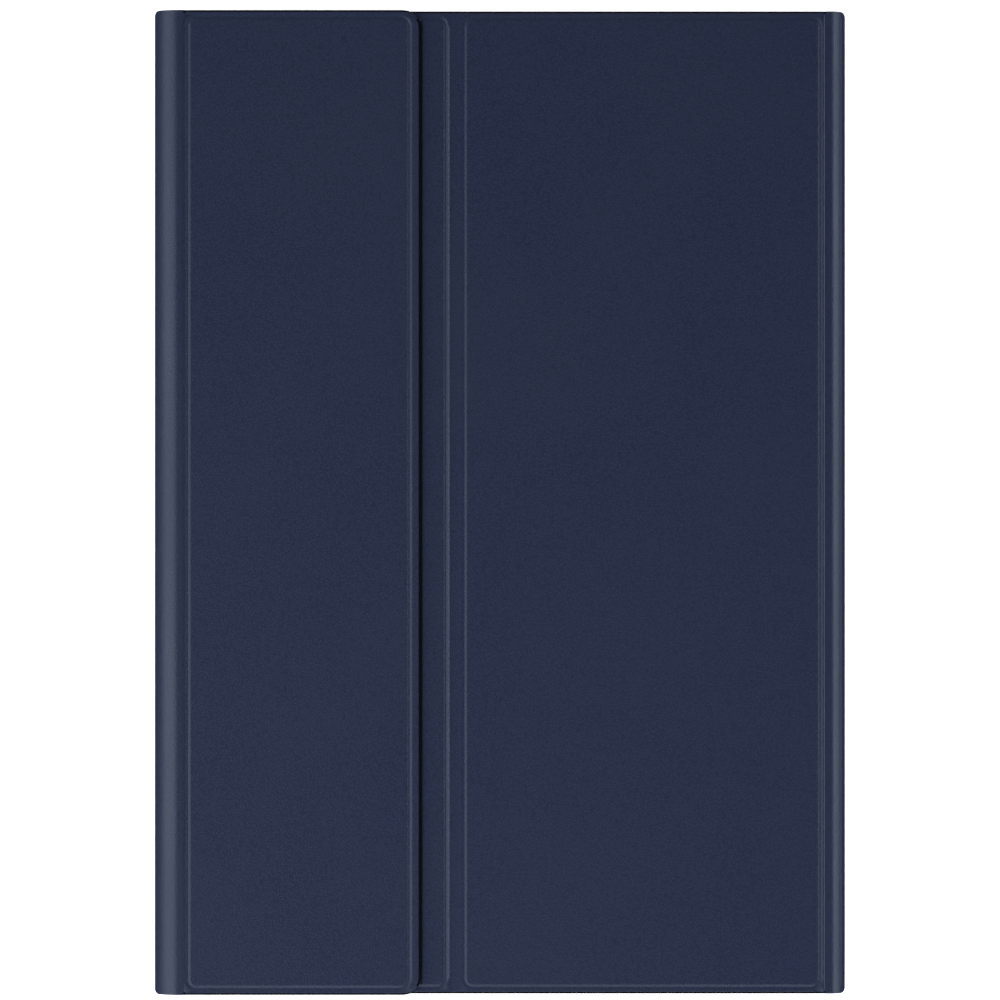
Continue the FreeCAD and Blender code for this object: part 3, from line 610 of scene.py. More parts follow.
SLOT_FINISHES: dict[str, Finish] = {
    "navy_leather": NAVY,
    "lining_microfibre": LINING,
    "tray_plastic": TRAY,
    "keyboard_plastic": CASE,
    "key_plastic": KEY,
    "rubber": RUBBER,
    "stiffener": Finish(
        "stiffener_board", (0.050, 0.050, 0.054), (0.030, 0.030, 0.034), Grain.NAP, cell=0.5,
        depth=0.03, rough=(0.8, 0.92), gloss=0.2,
    ),
    "steel": Finish(
        "plain_steel", (0.56, 0.57, 0.58), (0.40, 0.41, 0.42), Grain.BRUSH, cell=0.4,
        depth=0.01, rough=(0.26, 0.4), metal=1.0,
    ),
    "magnet": Finish(
        "plated_magnet", (0.62, 0.61, 0.58), (0.47, 0.46, 0.44), cell=0.5, depth=0.005,
        rough=(0.18, 0.3), metal=1.0,
    ),
    "dome_rubber": Finish(
        "dome_silicone", (0.55, 0.56, 0.54), (0.42, 0.43, 0.42), cell=0.3, rough=(0.55, 0.68),
    ),
    "circuit": Finish(
        "circuit_board", (0.010, 0.075, 0.030), (0.006, 0.045, 0.020), Grain.BRUSH, cell=0.8,
        rough=(0.32, 0.45),
    ),
    "cell": Finish(
        "cell_foil", (0.42, 0.43, 0.45), (0.30, 0.31, 0.33), cell=0.9, depth=0.03,
        rough=(0.3, 0.42), metal=0.7,
    ),
    "light": Finish(
        "light_lens", (0.62, 0.70, 0.64), (0.48, 0.55, 0.50), cell=0.2, depth=0.004,
        rough=(0.16, 0.24), coat=0.4,
    ),
    "film": Finish(
        "contact_film", (0.50, 0.47, 0.40), (0.38, 0.36, 0.31), cell=0.6, depth=0.006,
        rough=(0.25, 0.35),
    ),
}

NODE_FINISHES: dict[str, Finish] = {
    "tray_keepers": Finish(
        "coated_steel", (0.021, 0.024, 0.033), (0.014, 0.016, 0.022), cell=0.3, depth=0.01,
        rough=(0.42, 0.52), gloss=0.45,
    ),
}

LINE = (
    (0.25, 0.03), (0.25, 0.09), (0.25, 0.11), (0.15, 0.035), (0.10, 0.0),
    (0.15, -0.035), (0.25, -0.11), (0.25, -0.09), (0.25, -0.03),
)
LINE_WIDTH = sum(run for run, _ in LINE)
RELIEF = 0.45  # the relief of a sheet's upper side is nowhere deeper than this
PRESSED = 0.1  # the share of its relief that a pressed border keeps
SOFT_EDGE = 0.2  # the rounding of cut leather
SHORTEST = 0.1  # an edge this long along an axis runs along it
CRISP = 35  # degrees from which an edge of a moulded piece stays sharp


def enrol(piece: Any, finish: Finish, slot: str, *nodes: str) -> Any:
    """Dresses a finished piece and says what it stands for.

    Args:
        piece: the object.
        finish: its finish.
        slot: the record's material slot; it is not used.
        nodes: the nodes that it replaces.

    Returns:
        The object.
    """
    finish.dress(piece)
    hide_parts(*nodes)
    LOG.info("%s: %d faces, for %s", piece.name, len(piece.data.polygons), ", ".join(nodes))
    return piece


@dataclass(frozen=True)
class PressedPanel:
    """A sheet with a line pressed into it inside its edge, in millimetres.

    Attributes:
        left: the sheet's end towards the spine.
        right: its other end.
        half: half its length along the spine.
        level: its height.
        line: the pressed line's left and right places and half length.
        line_round: the line's corner radius at its left and right ends.
        corner: the radius of the sheet's own right-hand corners.
        press: -1 where the line is pressed downwards, 1 where upwards.
        lift: how far the rim is held aside while it is shaped.
    """

    left: float
    right: float
    half: float
    level: float
    line: tuple[float, float, float]
    line_round: Pair = (2.0, 2.0)
    corner: float = 0.0
    press: float = -1.0
    lift: float = 50.0

    def lay(self, bench: Bench) -> None:
        """Adds the sheet to the bench's mesh, its rim left open.

        Args:
            bench: the bench to work on.
        """
        side = LINE_WIDTH / 2
        left, right, half = self.line[0] - side, self.line[1] + side, self.line[2] + side
        flat = (self.level, self.level)
        bench.plane((left, -half, self.level), (right, half, self.level))
        for x, radius in zip((left, right), self.line_round):
            bench.pick(Kind.VERT, at(x=x, y=half, z=self.level)).corners(radius)
        bench.pick(Kind.FACE, within(x=(left, right), z=flat))
        for run, fall in LINE:
            bench.inset(run, self.press * fall)
        aside = self.level + self.lift
        bench.pick(Kind.EDGE, every(free, within(x=(left, right), z=flat))).pull_edges(z=self.lift)
        sides = ((left, self.left, 1, 0.0), (right, self.right, -1, self.corner))
        for (line_x, x, inward, corner), radius in zip(sides, self.line_round):
            for end in (-1, 1):
                old = (line_x + inward * radius, end * (half - radius), aside)
                new = (x + inward * corner, end * (self.half - corner))
                reach = (line_x, old[0]) if inward > 0 else (old[0], line_x)
                across = sorted((old[1], end * half))
                bench.pick(Kind.VERT, within(x=reach, y=across, z=(aside, aside)))
                share = corner / radius
                bench.resize(old, x=share, y=share).move(x=new[0] - old[0], y=new[1] - old[1])
        bench.pick(Kind.VERT, at(z=aside)).move(z=-self.lift).merge()

    def turn_rim(self, bench: Bench, rise: float) -> None:
        """Turns the sheet's rim up or down on every side but the left one."""
        left = at(x=self.left)
        bench.pick(Kind.EDGE, lambda edge: free(edge) and not left(edge)).pull_edges(z=rise)

    def press_ends(self, bench: Bench, fall: float = 0.25, beyond: float = 0.04) -> None:
        """Presses down the border at both ends of the sheet, outside its line.

        Args:
            bench: the bench with the sheet.
            fall: how far the border lies below the sheet.
            beyond: how far outside the middle of the line the border begins.
        """
        start, above = (self.line[2] + beyond) * MM, (self.level - RELIEF) * MM
        bench.pick(Kind.VERT, lambda v: abs(v.co.y) > start and v.co.z > above)
        bench.resize((0, 0, self.level - fall), z=PRESSED)


@dataclass(frozen=True)
class EdgePaintAndShade:
    """Paints the turned-down edges of a leather sheet near-black, partly as edge paint and partly as
    painted shade.

    Attributes:
        half: half the sheet's length along Y, in millimetres.
        right: the place along X of its right-hand edge, where that one is painted.
        end_reach: how far in from the ends the paint goes.
        right_reach: how far in from the right-hand edge it goes.
        end_lean: a face at an end is painted where its normal leans further out than this.
        right_lean: the same at the right-hand edge.
        flat: faces that rise more than this stay bare.
    """

    half: float
    right: float = math.inf
    end_reach: float = 0.65
    right_reach: float = 1.0
    end_lean: float = 0.2
    right_lean: float = 0.3
    flat: float = 0.98

    def paint(self, piece: Any) -> None:
        """Paints the edges of a finished piece with edge paint that also serves as painted shade."""
        # the second material is the edge paint, which here is also painted shade on the steep edge
        # faces
        piece.data.materials.append(EDGE_PAINT_AND_SHADE.make())
        end, side = (self.half - self.end_reach) * MM, (self.right - self.right_reach) * MM
        for face in piece.data.polygons:
            at_end = abs(face.center.y) > end and abs(face.normal.y) > self.end_lean
            at_right = face.center.x > side and face.normal.x > self.right_lean
            if (at_end or at_right) and abs(face.normal.z) < self.flat:
                face.material_index = 1


def round_in_plan(bench: Bench, roll: Pair, steps: int, radius: float, half: float) -> None:
    """Draws in the ends of a quarter roll so that its corners are round from above.

    Args:
        bench: the bench with the roll.
        roll: where the roll starts along X and how far it goes from there.
        steps: its number of steps.
        radius: the corner's radius.
        half: half the roll's length.
    """
    start, run = roll
    for step in range(steps + 1):
        row = start + run * math.sin(math.pi / 2 * step / steps)
        inside = radius - abs(start + run - row)
        if inside <= 0:
            continue
        back = radius - math.sqrt(max(radius**2 - inside**2, 0))
        for end in (-half, half):
            bench.pick(Kind.VERT, within(x=(row, row), y=(end, end)))
            bench.move(y=-math.copysign(back, end))


@dataclass
class FlapLeather:
    """The leather of the flap, on round the shoulder and down the spine, in millimetres."""

    panel: PressedPanel = PressedPanel(
        -83.05, -20.7, 129.5, 20.6, (-82.05, -23.8, 127.7), (3.0, 3.6), corner=4.75
    )
    under: float = 19.15
    shoulder: float = 7.95
    seam: float = 6.0
    steps: int = 16
    corner: float = 1.4
    rim: float = 0.8
    thickness: float = 0.8

    def build(self) -> Any:
        """Models the leather and returns its object."""
        panel = self.panel
        bench = Bench("flap_leather")
        panel.lay(bench)
        panel.turn_rim(bench, self.under - panel.level)
        centre = panel.level - self.shoulder
        bench.pick(Kind.EDGE, every(free, at(x=panel.left, z=panel.level)))
        bench.roll((panel.left, 0, centre), -90, self.steps).pull_edges(z=self.seam - centre)
        shoulder = (panel.left, -self.shoulder)
        round_in_plan(bench, shoulder, self.steps, self.corner, panel.half)
        bench.weld(z=1)
        panel.press_ends(bench)
        bench.weld(z=1).pick(Kind.EDGE, turned).round(self.rim, 5)
        piece = bench.thicken(self.thickness).soften(SOFT_EDGE).finish()
        enrol(piece, NAVY, "navy_leather", "flap_skin", "spine_skin")
        # edge paint plus painted shade: the ends turn near-black, and the free edge's black line
        # stands in for the flap's shadow
        EdgePaintAndShade(panel.half, panel.right).paint(piece)
        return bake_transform(piece)


@dataclass
class StandLeather:
    """The leather over the stand leg, across the fold and over the back panel, in millimetres."""

    leg: PressedPanel = PressedPanel(
        -79.0, -13.2, 129.2, 19.1, (-77.0, -14.2, 127.5), (3.0, 3.2)
    )
    back: PressedPanel = PressedPanel(
        -10.4, 85.5, 129.2, 19.1, (-9.4, 84.3, 127.5), (3.2, 3.2)
    )
    fold: tuple[Pair, ...] = (
        (-12.8, -0.28), (-12.2, -0.34), (-11.6, -0.35), (-11.0, -0.31),
    )
    fold_rim: float = -0.2
    fold_floor: float = -0.25
    seat: Pair = (-20.75, -20.4)
    seat_half: float = 126.8
    seat_depth: float = 0.5
    row: float = 0.06
    tuck: float = 0.5
    leg_under: float = 17.85
    back_under: float = 17.2
    edge: float = 5.5
    skirt: float = 1.6
    steps: int = 12
    corner: float = 1.5
    rim: float = 0.7
    thickness: float = 0.6

    def _fold(self, bench: Bench) -> None:
        """Joins the two panels with the fold groove."""
        leg, back = self.leg, self.back
        outer = within(x=(back.left, back.line[0] + self.row), z=(back.level - RELIEF, back.level))
        bench.pick(Kind.VERT, outer).resize((0, 0, back.level + self.fold_floor), z=PRESSED)
        rim = within(x=(leg.right - self.row, leg.right), z=(leg.level, leg.level))
        bench.pick(Kind.VERT, rim).move(z=self.fold_rim)
        bench.pick(Kind.EDGE, every(free, at(x=leg.right)))
        last = (back.left, self.fold_floor * (1 - PRESSED))
        bench.pull_along((leg.right, self.fold_rim), (*self.fold, last))

    def _roll_edge(self, bench: Bench) -> None:
        """Rolls the back panel's free edge down beside the tray."""
        back = self.back
        bench.pick(Kind.EDGE, every(free, at(x=back.right)))
        bench.roll((back.right, 0, back.level - self.edge), 90, self.steps)
        bench.pull_edges(z=-self.skirt)
        round_in_plan(bench, (back.right, self.edge), self.steps, self.corner, back.half)

    def _turn_ends(self, bench: Bench) -> None:
        """Turns the ends down, and further down at the back panel than at the leg."""
        leg, back = self.leg, self.back
        top = within(x=(leg.left, back.right), z=(leg.level - RELIEF, leg.level))
        bench.pick(Kind.EDGE, every(free, at(y=leg.half), top))
        bench.pull_edges(z=self.leg_under - leg.level)
        bench.pick(Kind.EDGE, every(free, at(x=leg.left, z=leg.level))).pull_edges(z=-self.tuck)
        hem = (self.leg_under + self.fold_floor, self.leg_under)
        low = within(x=(back.left, back.right), z=hem)
        bench.pick(Kind.EDGE, every(free, at(y=leg.half), low))
        bench.pull_edges(z=self.back_under - self.leg_under)

    def build(self) -> Any:
        """Models the leather and returns its object."""
        leg, back = self.leg, self.back
        bench = Bench("stand_leather")
        leg.lay(bench)
        bench.slice(self.seat[0]).slice(self.seat[1])
        long = (-self.seat_half, self.seat_half)
        bench.pick(Kind.FACE, within(x=self.seat, y=long, z=(leg.level, leg.level)))
        bench.pull_faces(z=-self.seat_depth)
        back.lay(bench)
        self._fold(bench)
        self._roll_edge(bench)
        bench.weld(z=1)
        self._turn_ends(bench)
        back.press_ends(bench)
        bench.weld(z=1).pick(Kind.EDGE, every(turned, at(y=leg.half))).round(self.rim, 5)
        piece = bench.thicken(self.thickness).soften(SOFT_EDGE).finish()
        enrol(piece, NAVY, "navy_leather", "leg_skin", "back_panel_skin")
        # edge paint that is also painted shade along the turned-down ends
        EdgePaintAndShade(back.half).paint(piece)
        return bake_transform(piece)


@dataclass
class CoverLeather:
    """The leather under the keyboard, turned up at its rim and the spine, in millimetres."""

    panel: PressedPanel = PressedPanel(
        -89.7, 90.6, 129.2, 0.0, (-86.5, 87.6, 126.2), (2.0, 3.0), corner=4.0, press=1.0
    )
    rim: float = 2.35
    turn: float = 1.3
    seam: float = 5.96
    steps: int = 6
    edge: float = 0.8
    thickness: float = 0.7

    def build(self) -> Any:
        """Models the leather and returns its object."""
        panel = self.panel
        bench = Bench("cover_leather")
        panel.lay(bench)
        panel.turn_rim(bench, self.rim)
        bench.pick(Kind.EDGE, every(free, at(x=panel.left, z=panel.level)))
        bench.roll((panel.left, 0, self.turn), 90, self.steps)
        bench.pull_edges(z=self.seam - self.turn)
        bench.weld(z=-1).pick(Kind.EDGE, turned).round(self.edge, 5)
        piece = bench.thicken(self.thickness).soften(SOFT_EDGE).finish()
        enrol(piece, NAVY, "navy_leather", "cover_skin")
        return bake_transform(piece)


def join(name: str, objects: Sequence[Any]) -> Any:
    """Joins finished objects into one.

    Args:
        name: the joined object's name.
        objects: what to join; the first one keeps its place.

    Returns:
        The joined object.
    """
    select_only(*objects)
    if len(objects) > 1:
        bpy.ops.object.join()
    joined = bpy.context.active_object
    joined.name = joined.data.name = name
    bpy.ops.object.select_all(action="DESELECT")
    return joined


def copy_of(master: Any, x: float, y: float, wider: float = 0, deeper: float = 0) -> Any:
    """Copies a piece that is modelled about the middle, stretched and put in place.

    Args:
        master: the piece to copy, with its own mesh for the copy.
        x: the copy's middle along X, in millimetres.
        y: its middle along Y.
        wider: how much longer it is along Y than the master.
        deeper: how much longer it is along X.

    Returns:
        The copy.
    """
    select_only(master)
    bpy.ops.object.duplicate(linked=False)
    bench = Bench(master.name)
    bench.obj = bpy.context.view_layer.objects.active
    bpy.ops.object.mode_set(mode="EDIT")
    for side in (-1, 1):
        bench.pick(Kind.VERT, lambda v: v.co.y * side > 0).move(y=side * wider / 2)
        bench.pick(Kind.VERT, lambda v: v.co.x * side > 0).move(x=side * deeper / 2)
    bpy.ops.mesh.select_all(action="SELECT")
    bench.move(x=x, y=y)
    bpy.ops.object.mode_set(mode="OBJECT")
    return bench.obj


def discard(obj: Any) -> None:
    """Deletes an object that has served its purpose."""
    bpy.data.objects.remove(obj, do_unlink=True)


def cutting_bar(low: Point, high: Point, radius: float, axis: Axis) -> Any:
    """Returns a block to cut with, its edges along one axis rounded.

    Args:
        low: the block's lowest corner in millimetres.
        high: its highest corner.
        radius: the rounding.
        axis: the axis that the rounded edges run along.

    Returns:
        The block.
    """
    bench = Bench("cutter")
    bench.block(low, high)
    bench.pick(Kind.EDGE, along(axis, SHORTEST)).round(radius)
    return bench.finish()


@dataclass
class InnerLining:
    """The microfibre sheet inside the spine and under the stand leg, in millimetres."""

    leg_left: float = -79.0
    leg_right: float = -14.3
    half: float = 128.4
    under: float = 17.3
    rise: tuple[Pair, ...] = ((-79.35, 17.5), (-80.3, 18.2), (-82.0, 18.6))
    shoulder: float = 7.0
    steps: int = 12
    wall: tuple[Pair, ...] = ((-88.5, 10.2), (-88.4, 9.0), (-88.4, 3.0))
    thickness: float = 0.4

    def build(self) -> Any:
        """Models the lining and returns its object."""
        bench = Bench("inner_lining")
        near, far = (self.leg_left, -self.half), (self.leg_right, self.half)
        bench.plane((*near, self.under), (*far, self.under))
        bench.pick(Kind.EDGE, at(x=self.leg_left))
        bench.pull_along((self.leg_left, self.under), self.rise)
        x, z = self.rise[-1]
        bench.roll((x, 0, z - self.shoulder), -90, self.steps)
        bench.pull_along((x - self.shoulder, z - self.shoulder), self.wall)
        bench.weld(z=-1).thicken(self.thickness).soften(0.12, 2)
        piece = enrol(bench.finish(), LINING, "lining_microfibre", "spine_lining", "leg_lining")
        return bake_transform(piece)


@dataclass
class CoverLining:
    """The microfibre sheet under the keyboard, with its docking channel, in millimetres."""

    panel: PressedPanel = PressedPanel(
        -88.6, 89.8, 128.4, 2.5, (-85.4, 86.4, 125.2), (2.0, 3.0), corner=3.4
    )
    dock: Pair = (-31.0, -23.0)
    dock_area: float = 1e-3
    dock_steps: tuple[Pair, ...] = ((1.0, 0.0), (0.4, -0.075), (0.5, -0.175))
    thickness: float = 0.45

    def build(self) -> Any:
        """Models the lining and returns its object."""
        panel = self.panel
        bench = Bench("cover_lining_sheet")
        panel.lay(bench)
        bench.slice(self.dock[0]).slice(self.dock[1])
        strip = within(x=self.dock, z=(panel.level, panel.level))
        bench.pick(Kind.FACE, lambda face: strip(face) and face.calc_area() > self.dock_area)
        for run, fall in self.dock_steps:
            bench.inset(run, fall)
        bench.weld(z=1).thicken(self.thickness).soften(0.12, 2)
        piece = enrol(bench.finish(), LINING, "lining_microfibre", "cover_lining")
        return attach(piece, "keyboard_cover")


@dataclass
class Tray:
    """The hard shell that the tablet snaps into, open downwards, in millimetres."""

    low: Point = (-79.1, -129.0, 8.3)
    high: Point = (90.0, 129.0, 17.1)
    corner: float = 2.6
    free_edge: float = 3.2
    lip: float = 2.0
    lip_height: float = 0.7
    undercut: float = 0.6
    floor: float = 15.9
    slots: tuple[tuple[float, float, int], ...] = (
        (-1.55, 12.45, -1), (-72.55, -56.55, 1), (-52.55, -26.55, 1), (-52.55, -26.55, -1),
    )
    slot_low: float = 10.0
    slot_high: float = 14.5
    slot_reach: Pair = (124.0, 131.0)
    slot_corner: float = 1.6
    keeper_pockets: tuple[tuple[Point, Point], ...] = (
        ((-80.0, -90.05, 9.95), (-78.25, 90.05, 14.05)),
        ((45.95, 128.15, 9.95), (76.05, 130.0, 14.05)),
        ((45.95, -130.0, 9.95), (76.05, -128.15, 14.05)),
    )

    def cutters(self) -> list[Any]:
        """Returns the blocks that cut the keepers' pockets and the openings in the ends."""
        cutters = [Bench("cutter").block(*pocket).finish() for pocket in self.keeper_pockets]
        for left, right, end in self.slots:
            near, far = sorted(end * reach for reach in self.slot_reach)
            low, high = (left, near, self.slot_low), (right, far, self.slot_high)
            cutters.append(cutting_bar(low, high, self.slot_corner, Axis.Y))
        return cutters

    def build(self) -> Any:
        """Models the shell and returns its object."""
        bench = Bench("tray_shell_moulded")
        bench.block(self.low, self.high)
        bench.pick(Kind.EDGE, along(Axis.Z, SHORTEST)).round(self.corner, 5)
        bench.pick(Kind.EDGE, at(x=self.high[0], z=self.high[2])).round(self.free_edge, 6)
        bench.pick(Kind.FACE, facing(z=-1)).inset(self.lip)
        bench.pull_faces(z=self.lip_height)
        middle = ((self.low[0] + self.high[0]) / 2, 0, self.low[2] + self.lip_height)
        spans = [high - low - 2 * self.lip for low, high in zip(self.low, self.high)]
        wider, longer = (1 + 2 * self.undercut / span for span in spans[:2])
        bench.pull_faces().resize(middle, x=wider, y=longer)
        bench.pull_faces(z=self.floor - self.low[2] - self.lip_height)
        bench.weld(z=1).soften(0.25, degrees=55).cut(self.cutters())
        piece = enrol(bench.finish(CRISP), TRAY, "tray_plastic", "tray_shell")
        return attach(piece, "tablet_tray")


@dataclass(frozen=True)
class Key:
    """One key: its place and size in millimetres, and its legend."""

    x: float
    y: float
    deep: float
    wide: float
    legend: str


@dataclass(frozen=True)
class KeyRow:
    """One row of keys from the user's left to right, in key units.

    Attributes:
        node: the node that the row stands for, which is also its body.
        left: the row's left end along Y, in millimetres.
        back: the row's back along X.
        front: its front.
        keys: each key's width in units and its legend.
        unit: one key unit in millimetres.
        gap: the space between two caps.
    """

    node: str
    left: float
    back: float
    front: float
    keys: tuple[tuple[float, str], ...]
    unit: float = 16.0
    gap: float = 2.8

    def places(self) -> list[Key]:
        """Returns the row's keys in place."""
        found, y = [], self.left
        for units, legend in self.keys:
            wide = units * self.unit
            x, deep = (self.back + self.front) / 2, self.front - self.back
            found.append(Key(x, y + wide / 2, deep - self.gap, wide - self.gap, legend))
            y += wide
        return found


def singles(legends: str) -> tuple[tuple[float, str], ...]:
    """Returns one key of one unit for each legend in a string of words."""
    return tuple((1.0, legend) for legend in legends.split())


ROWS: tuple[KeyRow, ...] = (
    KeyRow("keys_function", -120, -6, 5, (
        *singles("esc F1 F2 F3 F4 F5 F6 F7 F8 F9 F10 F11 F12 ins del"),
    )),
    KeyRow("keys_number", -120, 5, 21, (*singles("` 1 2 3 4 5 6 7 8 9 0 - ="), (2.0, "back"))),
    KeyRow("keys_upper", -120, 21, 37, (
        (1.5, "tab"), *singles("Q W E R T Y U I O P [ ]"), (1.5, "\\"),
    )),
    KeyRow("keys_home", -120, 37, 53, (
        (1.75, "caps"), *singles("A S D F G H J K L ; '"), (2.25, "enter"),
    )),
    KeyRow("keys_lower", -120, 53, 69, (
        (2.25, "shift"), *singles("Z X C V B N M , . /"), (2.75, "shift"),
    )),
    KeyRow("keys_bottom", -120, 69, 85, (*singles("fn ctrl alt"), (1.25, "alt"))),
    KeyRow("space_bar", -52, 69, 85, ((5.5, ""),)),
    KeyRow("keys_bottom", 36, 69, 85, ((1.25, "ctrl"), *singles("< ^ v >"))),
)


@dataclass
class Keys:
    """The key caps with printed legends, one piece for each row that moves, in millimetres."""

    size: float = 13.2
    low: float = 5.5
    high: float = 7.6
    corner: float = 1.5
    taper: float = 0.93
    edge: float = 0.3
    dish: tuple[Pair, ...] = ((0.35, -0.02), (0.3, -0.05), (0.25, -0.03))
    top_area: float = 5e-5
    letter: float = 4.2
    word: float = 2.7
    letter_row: float = 10.0
    print_rise: float = 0.02
    print_merge: float = 0.001

    def cap(self) -> Any:
        """Models the cap that every key is copied from and returns it."""
        half = self.size / 2
        bench = Bench("key_cap")
        bench.block((-half, -half, self.low), (half, half, self.high))
        bench.pick(Kind.EDGE, along(Axis.Z, SHORTEST)).round(self.corner)
        bench.pick(Kind.FACE, facing(z=1)).resize((0, 0, self.high), x=self.taper, y=self.taper)
        bench.pick(Kind.EDGE, at(z=self.high)).round(self.edge, 3)
        up = facing(z=1)
        bench.pick(Kind.FACE, lambda face: up(face) and face.calc_area() > self.top_area)
        for run, fall in self.dish:
            bench.inset(run, fall)
        piece = bench.finish(CRISP)
        KEY.dress(piece)
        return piece

    def legend(self, key: Key) -> Any:
        """Prints one key's legend on its cap and returns it as a mesh."""
        level = self.high + sum(fall for _, fall in self.dish)
        bpy.ops.object.select_all(action="DESELECT")
        bpy.ops.object.text_add(location=mm(key.x, key.y, level), rotation=(0, 0, math.pi / 2))
        obj = bpy.context.active_object
        text = obj.data
        text.body = key.legend
        large = len(key.legend) == 1 and key.deep > self.letter_row
        text.size = (self.letter if large else self.word) * MM
        text.align_x, text.align_y = "CENTER", "CENTER"
        text.resolution_u = 2
        text.extrude = self.print_rise * MM
        bpy.ops.object.convert(target="MESH")
        bpy.ops.object.transform_apply(location=True, rotation=True, scale=True)
        bpy.ops.object.mode_set(mode="EDIT")
        bpy.ops.mesh.select_all(action="SELECT")
        bpy.ops.mesh.remove_doubles(threshold=self.print_merge * MM)
        bpy.ops.object.mode_set(mode="OBJECT")
        LEGEND.dress(obj)
        return obj

    def build(self) -> list[Any]:
        """Models every row and returns the pieces."""
        master = self.cap()
        rows: dict[str, list[Any]] = {}
        for row in ROWS:
            for key in row.places():
                deeper, wider = key.deep - self.size, key.wide - self.size
                rows.setdefault(row.node, []).append(copy_of(master, key.x, key.y, wider, deeper))
                if key.legend:
                    rows[row.node].append(self.legend(key))
        discard(master)
        pieces = []
        for node, parts in rows.items():
            piece = join(node + "_caps", parts)
            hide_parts(node)
            pieces.append(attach(piece, node))
            LOG.info("%s: %d faces, for %s", piece.name, len(piece.data.polygons), node)
        return pieces


